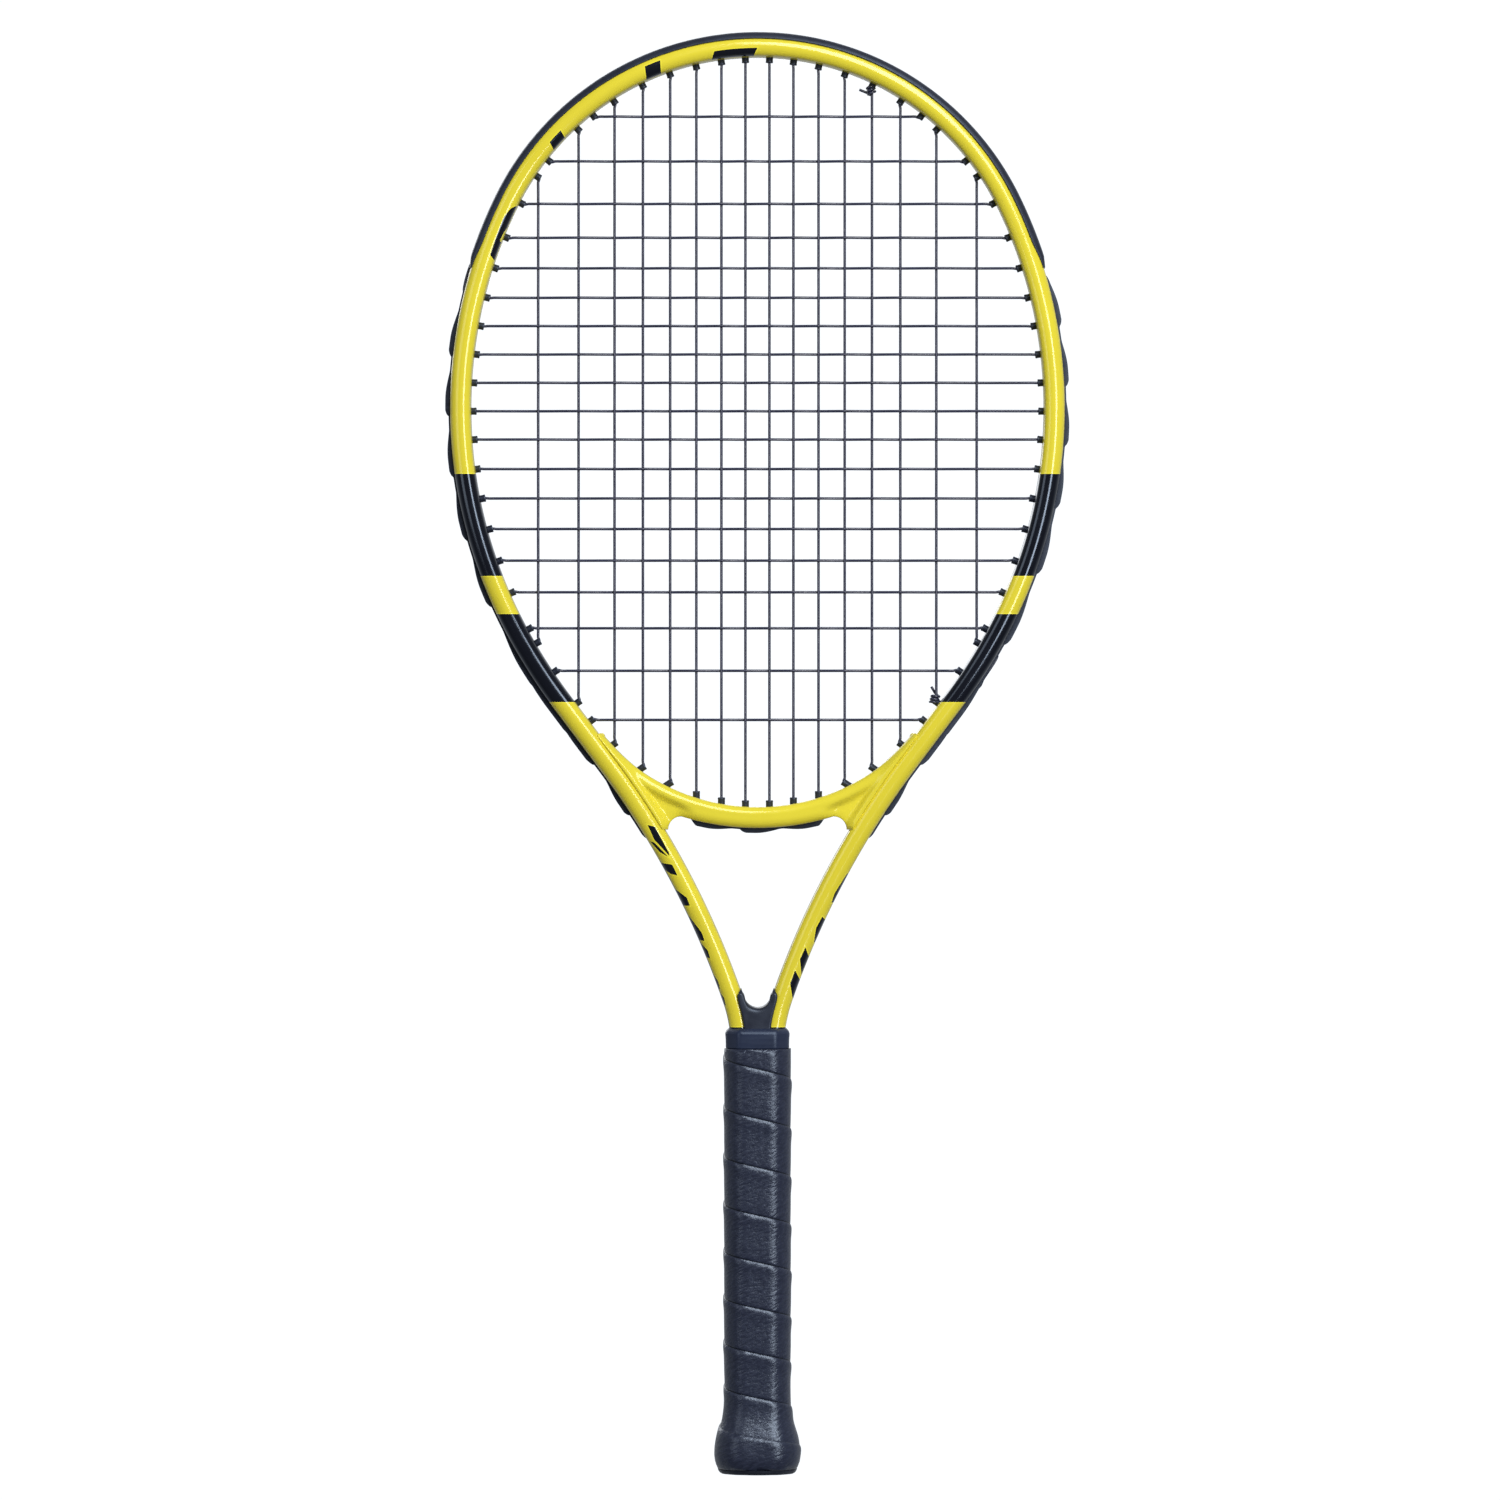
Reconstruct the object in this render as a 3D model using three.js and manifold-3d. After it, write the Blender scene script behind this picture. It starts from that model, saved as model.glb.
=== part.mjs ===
// A 26-inch junior tennis racket, upright: +Z runs from the butt to the tip of the head, the string
// bed lies in the XZ plane and the front faces -Y. The origin is the centre of the butt end.
// Millimetres. The frame is one bent tube, and what sits on it is placed by three numbers: s, the
// distance along the tube's centre line from the top of the head, positive to the right; u, the
// distance out from that line in the plane of the strings; and v, the distance along Y.
import * as THREE from "three";
import { mergeVertices } from "three/addons/utils/BufferGeometryUtils.js";
import Module from "manifold-3d";

const wasm = await Module();
wasm.setup();

// ---- Driving dimensions ----
const OVERALL_LENGTH = 660;
const GAP = 0.3; // between pieces that touch
const TUBE_HALF_WIDTH = 4.8; // seen from the front
const TUBE_HALF_DEPTH = 9.5;
const GROOVE_DEPTH = 1.6; // the channel round the outside of the tube, which holds the strips
const GROOVE_HALF_WIDTH = 3;
// Half the tube's bends, from the top of the head: radius, and angle in degrees.
const HEAD_BENDS = [
  [127, 64],
  [215, 50],
  [240, 13],
];
const THROAT_BEND_RADIUS = 395;
const SHAFT_BEND = [70, 19]; // the last bend, which brings the two shafts parallel
const SHAFT_X = 7.4; // each shaft's centre in the handle
const TUBE_END_Z = 6;

const STRING_RADIUS = 0.65;
const STRING_SIDES = 4;
const WEAVE = 1.6; // how far a cross string stands off a main string
const MAIN_GAPS = [5.5, 11, 11.5, 12, 12.5, 13, 16.5, 18.5]; // from the middle of the head outwards
const FIRST_CROSS_Z = 621.5;
const CROSS_GAPS = [
  20.5, 19.5, 15.5, 14, 13.5, 13, 13, 13, 13, 13, 13.5, 13.5, 14, 14.5, 14.5, 16.5, 19.5, 22.5,
];
const TOP_MAIN_TIED_TO = 3; // counted from the right, the main string that the end is knotted to
const KNOT_RADIUS = 1.9;

const BARREL_RADIUS = 1.65; // the grommet barrels that line the string holes
const BORE_RADIUS = 1.1;
const HOLE_RADIUS = 2.2;
const ROD_SIDES = 5; // barrels, bores and drilled holes
const BARREL_STANDOFF = 2.6; // how far a barrel stands out inside the head
const STRIP_THICKNESS = 1;
const STRIP_HALF_WIDTH = 2.65;
const RIDGE_HEIGHT = 1.1; // a strip's side walls, above its base
const CHANNEL_HALF_WIDTH = 1.75;
const HUMP_HEIGHT = 1.5; // the side walls rise over each loop of string
const GUARD_PROUD = 1.8; // how far the head guard stands out from the tube
const GUARD_END_Z = 549;
const STRIP_END_Z = 296;

const BRIDGE_TOP_Z = 305.1;
const BRIDGE_TOP_RADIUS = 94;
const BRIDGE_BOTTOM_Z = 295.5;
const BRIDGE_BOTTOM_RADIUS = 118;
const BRIDGE_TIP_Z = 337.5;
const BRIDGE_HALF_DEPTH = 9;
const BRIDGE_LEG_X = 41; // the inner side of each leg
const BRIDGE_FILLET = 6;
const BAR_HOLE_X = 30; // strings nearer the middle than this pass through the bridge's bar
const THROAT_STRIP_HALF_LENGTH = 31;

const INSERT_TIP_Z = 220.3; // the throat insert between the shafts
const INSERT_END_Z = 198;
const INSERT_SADDLE_Z = 213;
const INSERT_SADDLE_RADIUS = 6.2;
const INSERT_HALF_DEPTH = 9.2;

const GRIP = [15.25, 13.75, 8.7]; // half width, half depth and half the front facet's width
const GRIP_THICKNESS = 1.05;
const HANDLE_TOP_Z = 194.4;
const COLLAR = [14.45, 13, 8.7];
const COLLAR_WALL = 0.7;
const COLLAR_TOP_Z = 203.8;
// How the handle swells at the butt: height, and scale of the section.
const FLARE = [
  [2.2, 1.22],
  [6, 1.28],
  [9.6, 1.29],
  [15.1, 1.245],
  [24.3, 1.08],
  [33.4, 1],
];
const CAP_LIP_Z = 1.9;
const CAP_LIP_SCALES = [1.245, 1.324];
const CAP_FLOOR_Z = 3;
const CAP_SKIRT_Z = 20;
const DOOR_HALF = [8.2, 6];
const DOOR_Z = [0.4, 2.7];
const SCREW_RADIUS = 1.1;
const SCREW_HEAD = [2.1, 1]; // radius and thickness
const CAP_SCREW_Z = 12;
const HALF_SCREW_Z = [60, 150];

// ---- Materials ----
function material(color, roughness, metalness = 0) {
  return new THREE.MeshStandardMaterial({ color, roughness, metalness });
}
const yellowPaint = material(0xe2d42e, 0.25, 0.2);
const yellowPlastic = material(0xdccf32, 0.35);
const blackPlastic = material(0x23252e, 0.45);
const blackRubber = material(0x262a38, 0.4);
const gripLeather = material(0x2c3040, 0.6);
const navyString = material(0x262a44, 0.35);
const foamPlastic = material(0x6f7076, 0.7);
const steel = material(0xa8abb0, 0.35, 1);

// ---- Solids ----
function solidOf(geometry) {
  const bare = geometry.clone();
  bare.deleteAttribute("normal");
  bare.deleteAttribute("uv");
  const merged = mergeVertices(bare, 1e-4);
  return new wasm.Manifold(
    new wasm.Mesh({
      numProp: 3,
      vertProperties: new Float32Array(merged.attributes.position.array),
      triVerts: new Uint32Array(merged.index.array),
    }),
  );
}

function geometryOf(solid) {
  const mesh = solid.getMesh();
  const geometry = new THREE.BufferGeometry();
  const positions = new Float32Array(mesh.vertProperties);
  geometry.setAttribute("position", new THREE.BufferAttribute(positions, 3));
  geometry.setIndex(new THREE.BufferAttribute(new Uint32Array(mesh.triVerts), 1));
  geometry.computeVertexNormals();
  return geometry;
}

const join = (solids) => solids.reduce((all, next) => all.add(next));
const cut = (solid, cutters) => cutters.reduce((rest, next) => rest.subtract(next), solid);

function shapeOf(points) {
  const outline = points.map(([x, y]) => new THREE.Vector2(x, y));
  if (THREE.ShapeUtils.isClockWise(outline)) outline.reverse();
  return new THREE.Shape(outline);
}

// A solid from an outline in the XZ plane, reaching from y0 to y1.
function plate(outline, y0, y1) {
  const geometry = new THREE.ExtrudeGeometry(shapeOf(outline), {
    depth: y1 - y0,
    bevelEnabled: false,
  });
  return solidOf(geometry.rotateX(Math.PI / 2).translate(0, y1, 0));
}

// A solid whose XY outline is scaled to suit each [z, scale] level.
function loft(outline, levels, hole) {
  const shape = shapeOf(outline);
  if (hole) shape.holes.push(shapeOf(hole));
  const count = levels.length - 1;
  const geometry = new THREE.ExtrudeGeometry(shape, {
    depth: count,
    steps: count,
    bevelEnabled: false,
  });
  const position = geometry.attributes.position;
  for (let i = 0; i < position.count; i++) {
    const [z, scale] = levels[Math.round(position.getZ(i))];
    position.setXYZ(i, position.getX(i) * scale, position.getY(i) * scale, z);
  }
  return solidOf(geometry);
}

// A straight rod between two points.
function rod(from, to, radius) {
  const along = to.clone().sub(from);
  const geometry = new THREE.CylinderGeometry(radius, radius, along.length(), ROD_SIDES);
  const turn = new THREE.Quaternion().setFromUnitVectors(
    new THREE.Vector3(0, 1, 0),
    along.clone().normalize(),
  );
  const middle = from.clone().lerp(to, 0.5);
  return solidOf(geometry.applyQuaternion(turn).translate(middle.x, middle.y, middle.z));
}

// A curve that gives ExtrudeGeometry exactly the stations it is built from.
class Route extends THREE.Curve {
  constructor(points, tangents) {
    super();
    this.points = points;
    this.tangents = tangents;
  }
  getPointAt(t) {
    return this.points[Math.round(t * (this.points.length - 1))];
  }
  getTangentAt(t) {
    return this.tangents[Math.round(t * (this.points.length - 1))];
  }
}

function sweep(shape, route) {
  const steps = route.points.length - 1;
  return solidOf(new THREE.ExtrudeGeometry(shape, { steps, extrudePath: route }));
}

// The input at which an always rising or always falling function crosses zero.
function solve(f, low, high) {
  const rising = f(high) > f(low);
  for (let i = 0; i < 60; i++) {
    const middle = (low + high) / 2;
    if (f(middle) > 0 === rising) high = middle;
    else low = middle;
  }
  return (low + high) / 2;
}

// ---- The rim: the tube's centre line ----
const radians = THREE.MathUtils.degToRad;
const headAngle = HEAD_BENDS.reduce((sum, [, angle]) => sum + angle, 0);
const RIM_TOP_Z = OVERALL_LENGTH - GUARD_PROUD - TUBE_HALF_WIDTH;

// Runs of [length, turn per mm], laid end to end from the top of the head; clockwise is positive.
function layRuns(straight) {
  const bend = (radius, degrees) => [Math.abs(radius) * radians(degrees), 1 / radius];
  const runs = [
    ...HEAD_BENDS.map(([radius, degrees]) => bend(radius, degrees)),
    [straight, 0],
    bend(-THROAT_BEND_RADIUS, headAngle - 90 - SHAFT_BEND[1]),
    bend(-SHAFT_BEND[0], SHAFT_BEND[1]),
  ];
  const laid = [];
  let [s, x, z, heading] = [0, 0, RIM_TOP_Z, 0];
  for (const [length, turn] of runs) {
    const run = { s, length, turn, x, z, heading };
    laid.push(run);
    ({ x, z, heading } = pointOnRun(run, length));
    s += length;
  }
  laid.push({ s, length: z - TUBE_END_Z, turn: 0, x, z, heading });
  return laid;
}

function pointOnRun({ x, z, heading, turn }, distance) {
  const now = heading - turn * distance;
  if (turn === 0) {
    return { x: x + distance * Math.cos(now), z: z + distance * Math.sin(now), heading: now };
  }
  return {
    x: x + (Math.sin(heading) - Math.sin(now)) / turn,
    z: z - (Math.cos(heading) - Math.cos(now)) / turn,
    heading: now,
  };
}

// The straight run is as long as it takes to bring the shafts to SHAFT_X.
const straightHeading = radians(-headAngle);
const straightRun = (SHAFT_X - layRuns(0).at(-1).x) / Math.cos(straightHeading);
const rimRuns = layRuns(straightRun);
const RIM_HALF_LENGTH = rimRuns.at(-1).s + rimRuns.at(-1).length;
const WIDEST_S = solve((s) => rim(s).heading + Math.PI / 2, 0, rimRuns[3].s);

function rim(s) {
  const side = s < 0 ? -1 : 1;
  const run = rimRuns.findLast((candidate) => candidate.s <= Math.abs(s)) ?? rimRuns[0];
  const { x, z, heading } = pointOnRun(run, Math.abs(s) - run.s);
  return {
    x: side * x,
    z,
    heading,
    out: new THREE.Vector3(-side * Math.sin(heading), 0, Math.cos(heading)),
    along: new THREE.Vector3(Math.cos(heading), 0, side * Math.sin(heading)),
  };
}

function onRim(s, u, v = 0) {
  const { x, z, out } = rim(s);
  return new THREE.Vector3(x + out.x * u, v, z + out.z * u);
}

// The s on the right at which the line at this u has come down to height z.
const sAtHeight = (z, u = 0) => solve((s) => onRim(s, u).z - z, 1, RIM_HALF_LENGTH);

// Stations from s0 to s1. Between two of them there is no more than this turn, and the chord lies
// no further than MOST_SAG from the curve.
const MOST_SAG = 0.28;
function stations(s0, s1, mostTurn = radians(6.3)) {
  const breaks = rimRuns.flatMap(({ s }) => [-s, s]).filter((s) => s > s0 + 1 && s < s1 - 1);
  const list = [s0];
  for (const end of [...new Set(breaks)].sort((a, b) => a - b).concat(s1)) {
    const start = list.at(-1);
    const turn = Math.abs(rim(end).heading - rim(start).heading);
    const straddles = start < 0 && end > 0;
    const radius = turn > 0 ? Math.abs(end - start) / turn : 1;
    const step = Math.min(mostTurn, Math.sqrt((8 * MOST_SAG) / radius));
    const count = straddles ? 2 : Math.max(1, Math.ceil(turn / step - 1e-6));
    for (let k = 1; k <= count; k++) list.push(start + ((end - start) * k) / count);
  }
  return list;
}

// A section given as [u, v] points, run along the rim from left to right.
function rimSweep(section, list, holes = []) {
  const flip = (points) => shapeOf(points.map(([u, v]) => [-v, -u]));
  const shape = flip(section);
  shape.holes = holes.map(flip);
  const route = new Route(
    list.map((s) => onRim(s, 0)),
    list.map((s) => rim(s).along),
  );
  return sweep(shape, route);
}

const mirrored = (half) => [...half, ...half.map(([u, v]) => [u, -v]).reverse()];

// ---- The bridge's bar: the same three numbers, along the bottom of its arc ----
const BAR_CENTRE_Z = BRIDGE_BOTTOM_Z + BRIDGE_BOTTOM_RADIUS;
function onBar(s, u, v = 0) {
  const radius = BRIDGE_BOTTOM_RADIUS + u - TUBE_HALF_WIDTH;
  const angle = s / BRIDGE_BOTTOM_RADIUS;
  return new THREE.Vector3(radius * Math.sin(angle), v, BAR_CENTRE_Z - radius * Math.cos(angle));
}

// ---- String holes ----
const ARC_CENTRE_Z = BRIDGE_TOP_Z + BRIDGE_TOP_RADIUS;
const STRIP_BASE_U = TUBE_HALF_WIDTH - GROOVE_DEPTH + GAP;
const STRIP_TOP_U = STRIP_BASE_U + STRIP_THICKNESS;
const LOOP_U = STRIP_TOP_U + STRING_RADIUS + GAP;
const MOUTH_U = -TUBE_HALF_WIDTH - BARREL_STANDOFF;

const SEAM_U = -TUBE_HALF_WIDTH - GAP;
const bridgeTipS = sAtHeight(BRIDGE_TIP_Z, SEAM_U);

// The u of a barrel's inner end, which stands further in where the bridge lines the tube.
function mouthU(s) {
  if (s < bridgeTipS) return MOUTH_U;
  const { x, z, out } = rim(s);
  const radius = BRIDGE_TOP_RADIUS - BARREL_STANDOFF;
  const across = x * out.x + (z - ARC_CENTRE_Z) * out.z;
  const far = x * x + (z - ARC_CENTRE_Z) ** 2 - radius * radius;
  return Math.min(MOUTH_U, -across + Math.sqrt(across * across - far));
}

function rimHole(s) {
  return { track: onRim, s, mouth: onRim(s, mouthU(Math.abs(s))), out: rim(s).out };
}

function barHole(x) {
  const s = BRIDGE_BOTTOM_RADIUS * Math.asin(x / BRIDGE_BOTTOM_RADIUS);
  const mouthZ = ARC_CENTRE_Z - Math.sqrt((BRIDGE_TOP_RADIUS - BARREL_STANDOFF) ** 2 - x * x);
  const mouth = new THREE.Vector3(x, 0, mouthZ);
  return { track: onBar, s, mouth, out: new THREE.Vector3(0, 0, -1) };
}

function mainHoles(x) {
  const size = Math.abs(x);
  const side = Math.sign(x);
  const mouthX = (s) => onRim(s, mouthU(s)).x;
  const topS = solve((s) => mouthX(s) - size, 1, WIDEST_S);
  const bottomS = solve((s) => mouthX(s) - size, WIDEST_S, sAtHeight(STRIP_END_Z));
  const bottom = size < BAR_HOLE_X ? barHole(x) : rimHole(side * bottomS);
  return { x, top: rimHole(side * topS), bottom };
}

function crossHoles(z) {
  const s = solve((candidate) => onRim(candidate, MOUTH_U).z - z, 1, sAtHeight(BRIDGE_TIP_Z));
  return { z, left: rimHole(-s), right: rimHole(s) };
}

// Each gap's far end, measured from where the first gap starts.
const reaches = (gaps) => gaps.map((_, i) => gaps.slice(0, i + 1).reduce((sum, gap) => sum + gap));

const mainOffsets = reaches(MAIN_GAPS);
const mains = [...mainOffsets.map((x) => -x).reverse(), ...mainOffsets].map(mainHoles);
const crosses = [0, ...reaches(CROSS_GAPS)].map((fall) => crossHoles(FIRST_CROSS_Z - fall));
const allHoles = [
  ...mains.flatMap(({ top, bottom }) => [top, bottom]),
  ...crosses.flatMap(({ left, right }) => [left, right]),
];
const exitOf = (hole, u) =>
  hole.track === onRim
    ? onRim(hole.s, u)
    : onBar(hole.s, STRIP_TOP_U).addScaledVector(hole.out, u - STRIP_TOP_U);
const alongHole = (hole, radius, outer, past) =>
  rod(exitOf(hole, outer), hole.mouth.clone().addScaledVector(hole.out, -past), radius);
const isOnBar = (hole) => hole.track === onBar;

// ---- Frame tube ----
function tubeSection(grow = 0) {
  return [
    [TUBE_HALF_WIDTH + grow, 5.4],
    [3 + grow, 8.5 + grow],
    [0, TUBE_HALF_DEPTH + grow],
    [-3 - grow, 8.5 + grow],
    [-TUBE_HALF_WIDTH - grow, 5.4],
  ];
}

function frameTube() {
  const grooveFloor = TUBE_HALF_WIDTH - GROOVE_DEPTH;
  const groove = [
    [grooveFloor, GROOVE_HALF_WIDTH],
    [TUBE_HALF_WIDTH, GROOVE_HALF_WIDTH],
  ];
  const section = mirrored([...groove, ...tubeSection()]);
  const chamber = [
    [2.4, 2.7],
    [4, 4.8],
    [2.1, 8],
    [-2.1, 8],
    [-4, 4.8],
    [-4, 2.7],
  ];
  const otherChamber = chamber.map(([u, v]) => [u, -v]);
  const list = stations(-RIM_HALF_LENGTH, RIM_HALF_LENGTH);
  const tube = rimSweep(section, list, [chamber, otherChamber]);
  const drills = allHoles
    .filter((hole) => !isOnBar(hole))
    .map((hole) => rod(onRim(hole.s, 6), onRim(hole.s, -6), HOLE_RADIUS));
  return cut(tube, [join(drills)]);
}

// ---- Throat bridge ----
function throatBridge() {
  const footS = sAtHeight(BRIDGE_BOTTOM_Z, SEAM_U);
  const tip = onRim(bridgeTipS, SEAM_U);
  const tipX = Math.sqrt(BRIDGE_TOP_RADIUS ** 2 - (ARC_CENTRE_Z - tip.z) ** 2);
  const right = [];
  // The underside, from the middle to the fillet.
  const underX = BRIDGE_LEG_X - BRIDGE_FILLET;
  for (let k = 0; k <= 3; k++) {
    const { x, z } = onBar((underX * k) / 3, TUBE_HALF_WIDTH);
    right.push([x, z]);
  }
  // The fillet down the inside of the leg.
  const [cornerX, cornerZ] = right.at(-1);
  for (let k = 1; k <= 4; k++) {
    const angle = (k / 4) * (Math.PI / 2);
    right.push([
      cornerX + BRIDGE_FILLET * Math.sin(angle),
      cornerZ - BRIDGE_FILLET * (1 - Math.cos(angle)),
    ]);
  }
  // The foot, the seam along the tube, and the blunt tip.
  for (const s of stations(bridgeTipS, footS).reverse()) {
    const { x, z } = onRim(s, SEAM_U);
    right.push([x, z]);
  }
  // The top, back to the middle.
  for (let k = 0; k < 8; k++) {
    const angle = Math.asin(tipX / BRIDGE_TOP_RADIUS) * (1 - k / 8) - (k ? 0 : 0.012);
    right.push([
      BRIDGE_TOP_RADIUS * Math.sin(angle),
      ARC_CENTRE_Z - BRIDGE_TOP_RADIUS * Math.cos(angle),
    ]);
  }
  const left = right.slice(1).map(([x, z]) => [-x, z]).reverse();
  const outline = [...right, [0, BRIDGE_TOP_Z], ...left];
  const body = plate(outline, -BRIDGE_HALF_DEPTH, BRIDGE_HALF_DEPTH);
  const grooveList = [-1, -0.5, 0, 0.5, 1].map((k) => k * (THROAT_STRIP_HALF_LENGTH + 1));
  const grooveU = [TUBE_HALF_WIDTH - GROOVE_DEPTH, TUBE_HALF_WIDTH + 1];
  const groove = band(onBar, grooveList, grooveU, GROOVE_HALF_WIDTH);
  const drills = mains
    .filter(({ x }) => Math.abs(x) < tipX)
    .map(({ bottom }) => alongHole(bottom, HOLE_RADIUS, 6, 2));
  return cut(body, [groove, join(drills)]);
}

// ---- Grommet strips ----
// A band that follows a track between two values of u, as wide as v allows on both sides of 0.
function band(track, list, [inner, outer], v, v0 = -v) {
  const outerEdge = list.map((s) => track(s, typeof outer === "function" ? outer(s) : outer));
  const innerEdge = list.map((s) => track(s, inner)).reverse();
  return plate([...outerEdge, ...innerEdge].map(({ x, z }) => [x, z]), v0, v);
}

function barrels(holes) {
  return holes.map((hole) => alongHole(hole, BARREL_RADIUS, STRIP_TOP_U - 0.1, 0));
}

function bores(holes) {
  return join(holes.map((hole) => alongHole(hole, BORE_RADIUS, STRIP_TOP_U + 1, 1)));
}

// A strip's base, its two side walls, which rise to a hump over each loop, and its barrels.
function grommetStrip(track, list, holes, loops) {
  const ridgeU = STRIP_TOP_U + RIDGE_HEIGHT;
  const humpReach = 4;
  const humps = loops.map(([a, b]) => ({
    middle: (a + b) / 2,
    half: Math.abs(b - a) / 2 + humpReach,
  }));
  const ridgeTop = (s) =>
    humps.reduce((top, { middle, half }) => {
      const from = (s - middle) / half;
      return Math.max(top, ridgeU + HUMP_HEIGHT * (1 - from * from));
    }, ridgeU);
  const humpList = humps.flatMap(({ middle, half }) =>
    [-1, -0.5, 0.5, 1].map((k) => middle + k * half),
  );
  const inside = humpList.filter((s) => s > list[0] && s < list.at(-1));
  const ridgeList = [...list, ...inside].sort((a, b) => a - b);
  const ridge = (side) => {
    const edges = [side * CHANNEL_HALF_WIDTH, side * STRIP_HALF_WIDTH].sort((a, b) => a - b);
    return band(track, ridgeList, [STRIP_TOP_U - 0.2, ridgeTop], edges[1], edges[0]);
  };
  const base = band(track, list, [STRIP_BASE_U, STRIP_TOP_U], STRIP_HALF_WIDTH);
  return cut(join([base, ridge(-1), ridge(1), ...barrels(holes)]), [bores(holes)]);
}

const guardEndS = sAtHeight(GUARD_END_Z);
const stripEndS = sAtHeight(STRIP_END_Z);
const rimHoles = allHoles.filter((hole) => !isOnBar(hole));

function sideStrip(side, loops) {
  const start = guardEndS + 3;
  const edges = [side * start, side * stripEndS].sort((a, b) => a - b);
  const holes = rimHoles.filter(({ s }) => side * s > start);
  const own = loops.filter(([a, b]) => side * a > start && side * b > start);
  return grommetStrip(onRim, stations(...edges), holes, own);
}

function throatStrip(loops) {
  const ends = [-1, -0.5, 0, 0.5, 1].map((k) => k * THROAT_STRIP_HALF_LENGTH);
  return grommetStrip(onBar, ends, allHoles.filter(isOnBar), loops);
}

function headGuard() {
  const topU = TUBE_HALF_WIDTH + GUARD_PROUD;
  const section = mirrored([
    [STRIP_BASE_U, STRIP_HALF_WIDTH],
    [TUBE_HALF_WIDTH + GAP, STRIP_HALF_WIDTH + 0.1],
    [TUBE_HALF_WIDTH + GAP, 5.6],
    [3.6, 8.6],
    [4.5, 9.2],
    [topU, 5.6],
    [topU, CHANNEL_HALF_WIDTH + 0.8],
    [STRIP_TOP_U, CHANNEL_HALF_WIDTH],
  ]);
  const holes = rimHoles.filter(({ s }) => Math.abs(s) < guardEndS);
  const guard = rimSweep(section, stations(-guardEndS, guardEndS));
  return cut(join([guard, ...barrels(holes)]), [bores(holes)]);
}

// ---- Strings ----
// The way round the outside from one hole to another. v keeps two loops that pass apart, and the
// loop rises over any other string that comes out of a hole in between.
function loopPoints(from, to, v) {
  const step = Math.sign(to.s - from.s);
  const span = Math.abs(to.s - from.s);
  const passed = allHoles
    .filter(({ track, s }) => track === from.track && (s - from.s) * (s - to.s) < 0)
    .map(({ s }) => s);
  const places = [];
  const count = Math.max(1, Math.round(span / 11));
  for (let k = 1; k < count; k++) places.push([from.s + (step * span * k) / count, 0]);
  const clear = places.filter(([s]) => passed.every((other) => Math.abs(other - s) > 4));
  const over = passed.flatMap((s) => [
    [s - 2.6, 0],
    [s, 1.3],
    [s + 2.6, 0],
  ]);
  const path = [...clear, ...over].sort((a, b) => step * (a[0] - b[0]));
  const end = (hole, direction) => [
    exitOf(hole, LOOP_U - 0.7),
    hole.track(hole.s + direction * 0.9, LOOP_U, 0.4 * v),
  ];
  return [
    ...end(from, step),
    ...path.map(([s, rise]) => from.track(s, LOOP_U + rise, v)),
    ...end(to, -step).reverse(),
  ];
}

const beforeMouth = (hole) => hole.mouth.clone().addScaledVector(hole.out, -0.7);

// The points of a cross string from one side to the other, over and under the mains.
function crossPoints({ z, left, right }, index, leftToRight) {
  const reach = Math.abs(left.mouth.x) - 2;
  const woven = mains
    .map(({ x }, i) => [x, (i + index) % 2 ? WEAVE : -WEAVE])
    .filter(([x]) => Math.abs(x) < reach)
    .map(([x, y]) => new THREE.Vector3(x, y, z));
  const points = [beforeMouth(left), ...woven, beforeMouth(right)];
  return leftToRight ? points : points.reverse();
}

function tubeAlong(points) {
  const tangents = points.map((point, i) => {
    const before = points[Math.max(0, i - 1)];
    const after = points[Math.min(points.length - 1, i + 1)];
    return after.clone().sub(before).normalize();
  });
  const corners = [];
  for (let k = 0; k < STRING_SIDES; k++) {
    const angle = (2 * Math.PI * k) / STRING_SIDES;
    corners.push([STRING_RADIUS * Math.cos(angle), STRING_RADIUS * Math.sin(angle)]);
  }
  return sweep(shapeOf(corners), new Route(points, tangents));
}

// One string laces the whole racket: up and down the mains from right to left, then across from
// the lowest cross string to the highest. Each end is tied off on a main string.
const loopsMade = [];
function lace() {
  const points = [];
  const loop = (from, to, v) => {
    loopsMade.push([from, to]);
    points.push(...loopPoints(from, to, v));
  };
  const fromRight = [...mains].reverse();
  fromRight.forEach((main, i) => {
    const upwards = i % 2 === 0;
    const [first, last] = upwards ? [main.bottom, main.top] : [main.top, main.bottom];
    if (i === 0) points.push(exitOf(first, LOOP_U - 0.7));
    points.push(beforeMouth(first), beforeMouth(last));
    const next = fromRight[i + 1];
    if (!next) return;
    const onLeft = main.x < 0;
    loop(last, upwards ? next.top : next.bottom, !upwards && onLeft ? 0.75 : -0.75);
  });
  const upTheCrosses = [...crosses].reverse();
  loop(mains[0].bottom, upTheCrosses[0].left, -0.75);
  upTheCrosses.forEach((cross, k) => {
    const leftToRight = k % 2 === 0;
    points.push(...crossPoints(cross, crosses.length - 1 - k, leftToRight));
    const side = leftToRight ? "right" : "left";
    const next = upTheCrosses[k + 1];
    if (next) loop(cross[side], next[side], 0.75);
    else points.push(exitOf(cross[side], LOOP_U - 0.7));
  });
  return points;
}

function knot(hole) {
  const { x, y, z } = hole.mouth.clone().addScaledVector(hole.out, -0.7 - KNOT_RADIUS);
  return solidOf(new THREE.IcosahedronGeometry(KNOT_RADIUS, 1).translate(x, y, z));
}

function stringSolid() {
  const laced = tubeAlong(lace());
  const last = mains.length - 1;
  const startTail = tubeAlong(loopPoints(mains[last].bottom, mains[last - 1].bottom, -0.75));
  const tiedTo = mains[last - TOP_MAIN_TIED_TO];
  const endTail = tubeAlong(loopPoints(crosses[0].right, tiedTo.top, 0.75));
  return join([laced, startTail, endTail, knot(mains[last - 1].bottom), knot(tiedTo.top)]);
}

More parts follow.
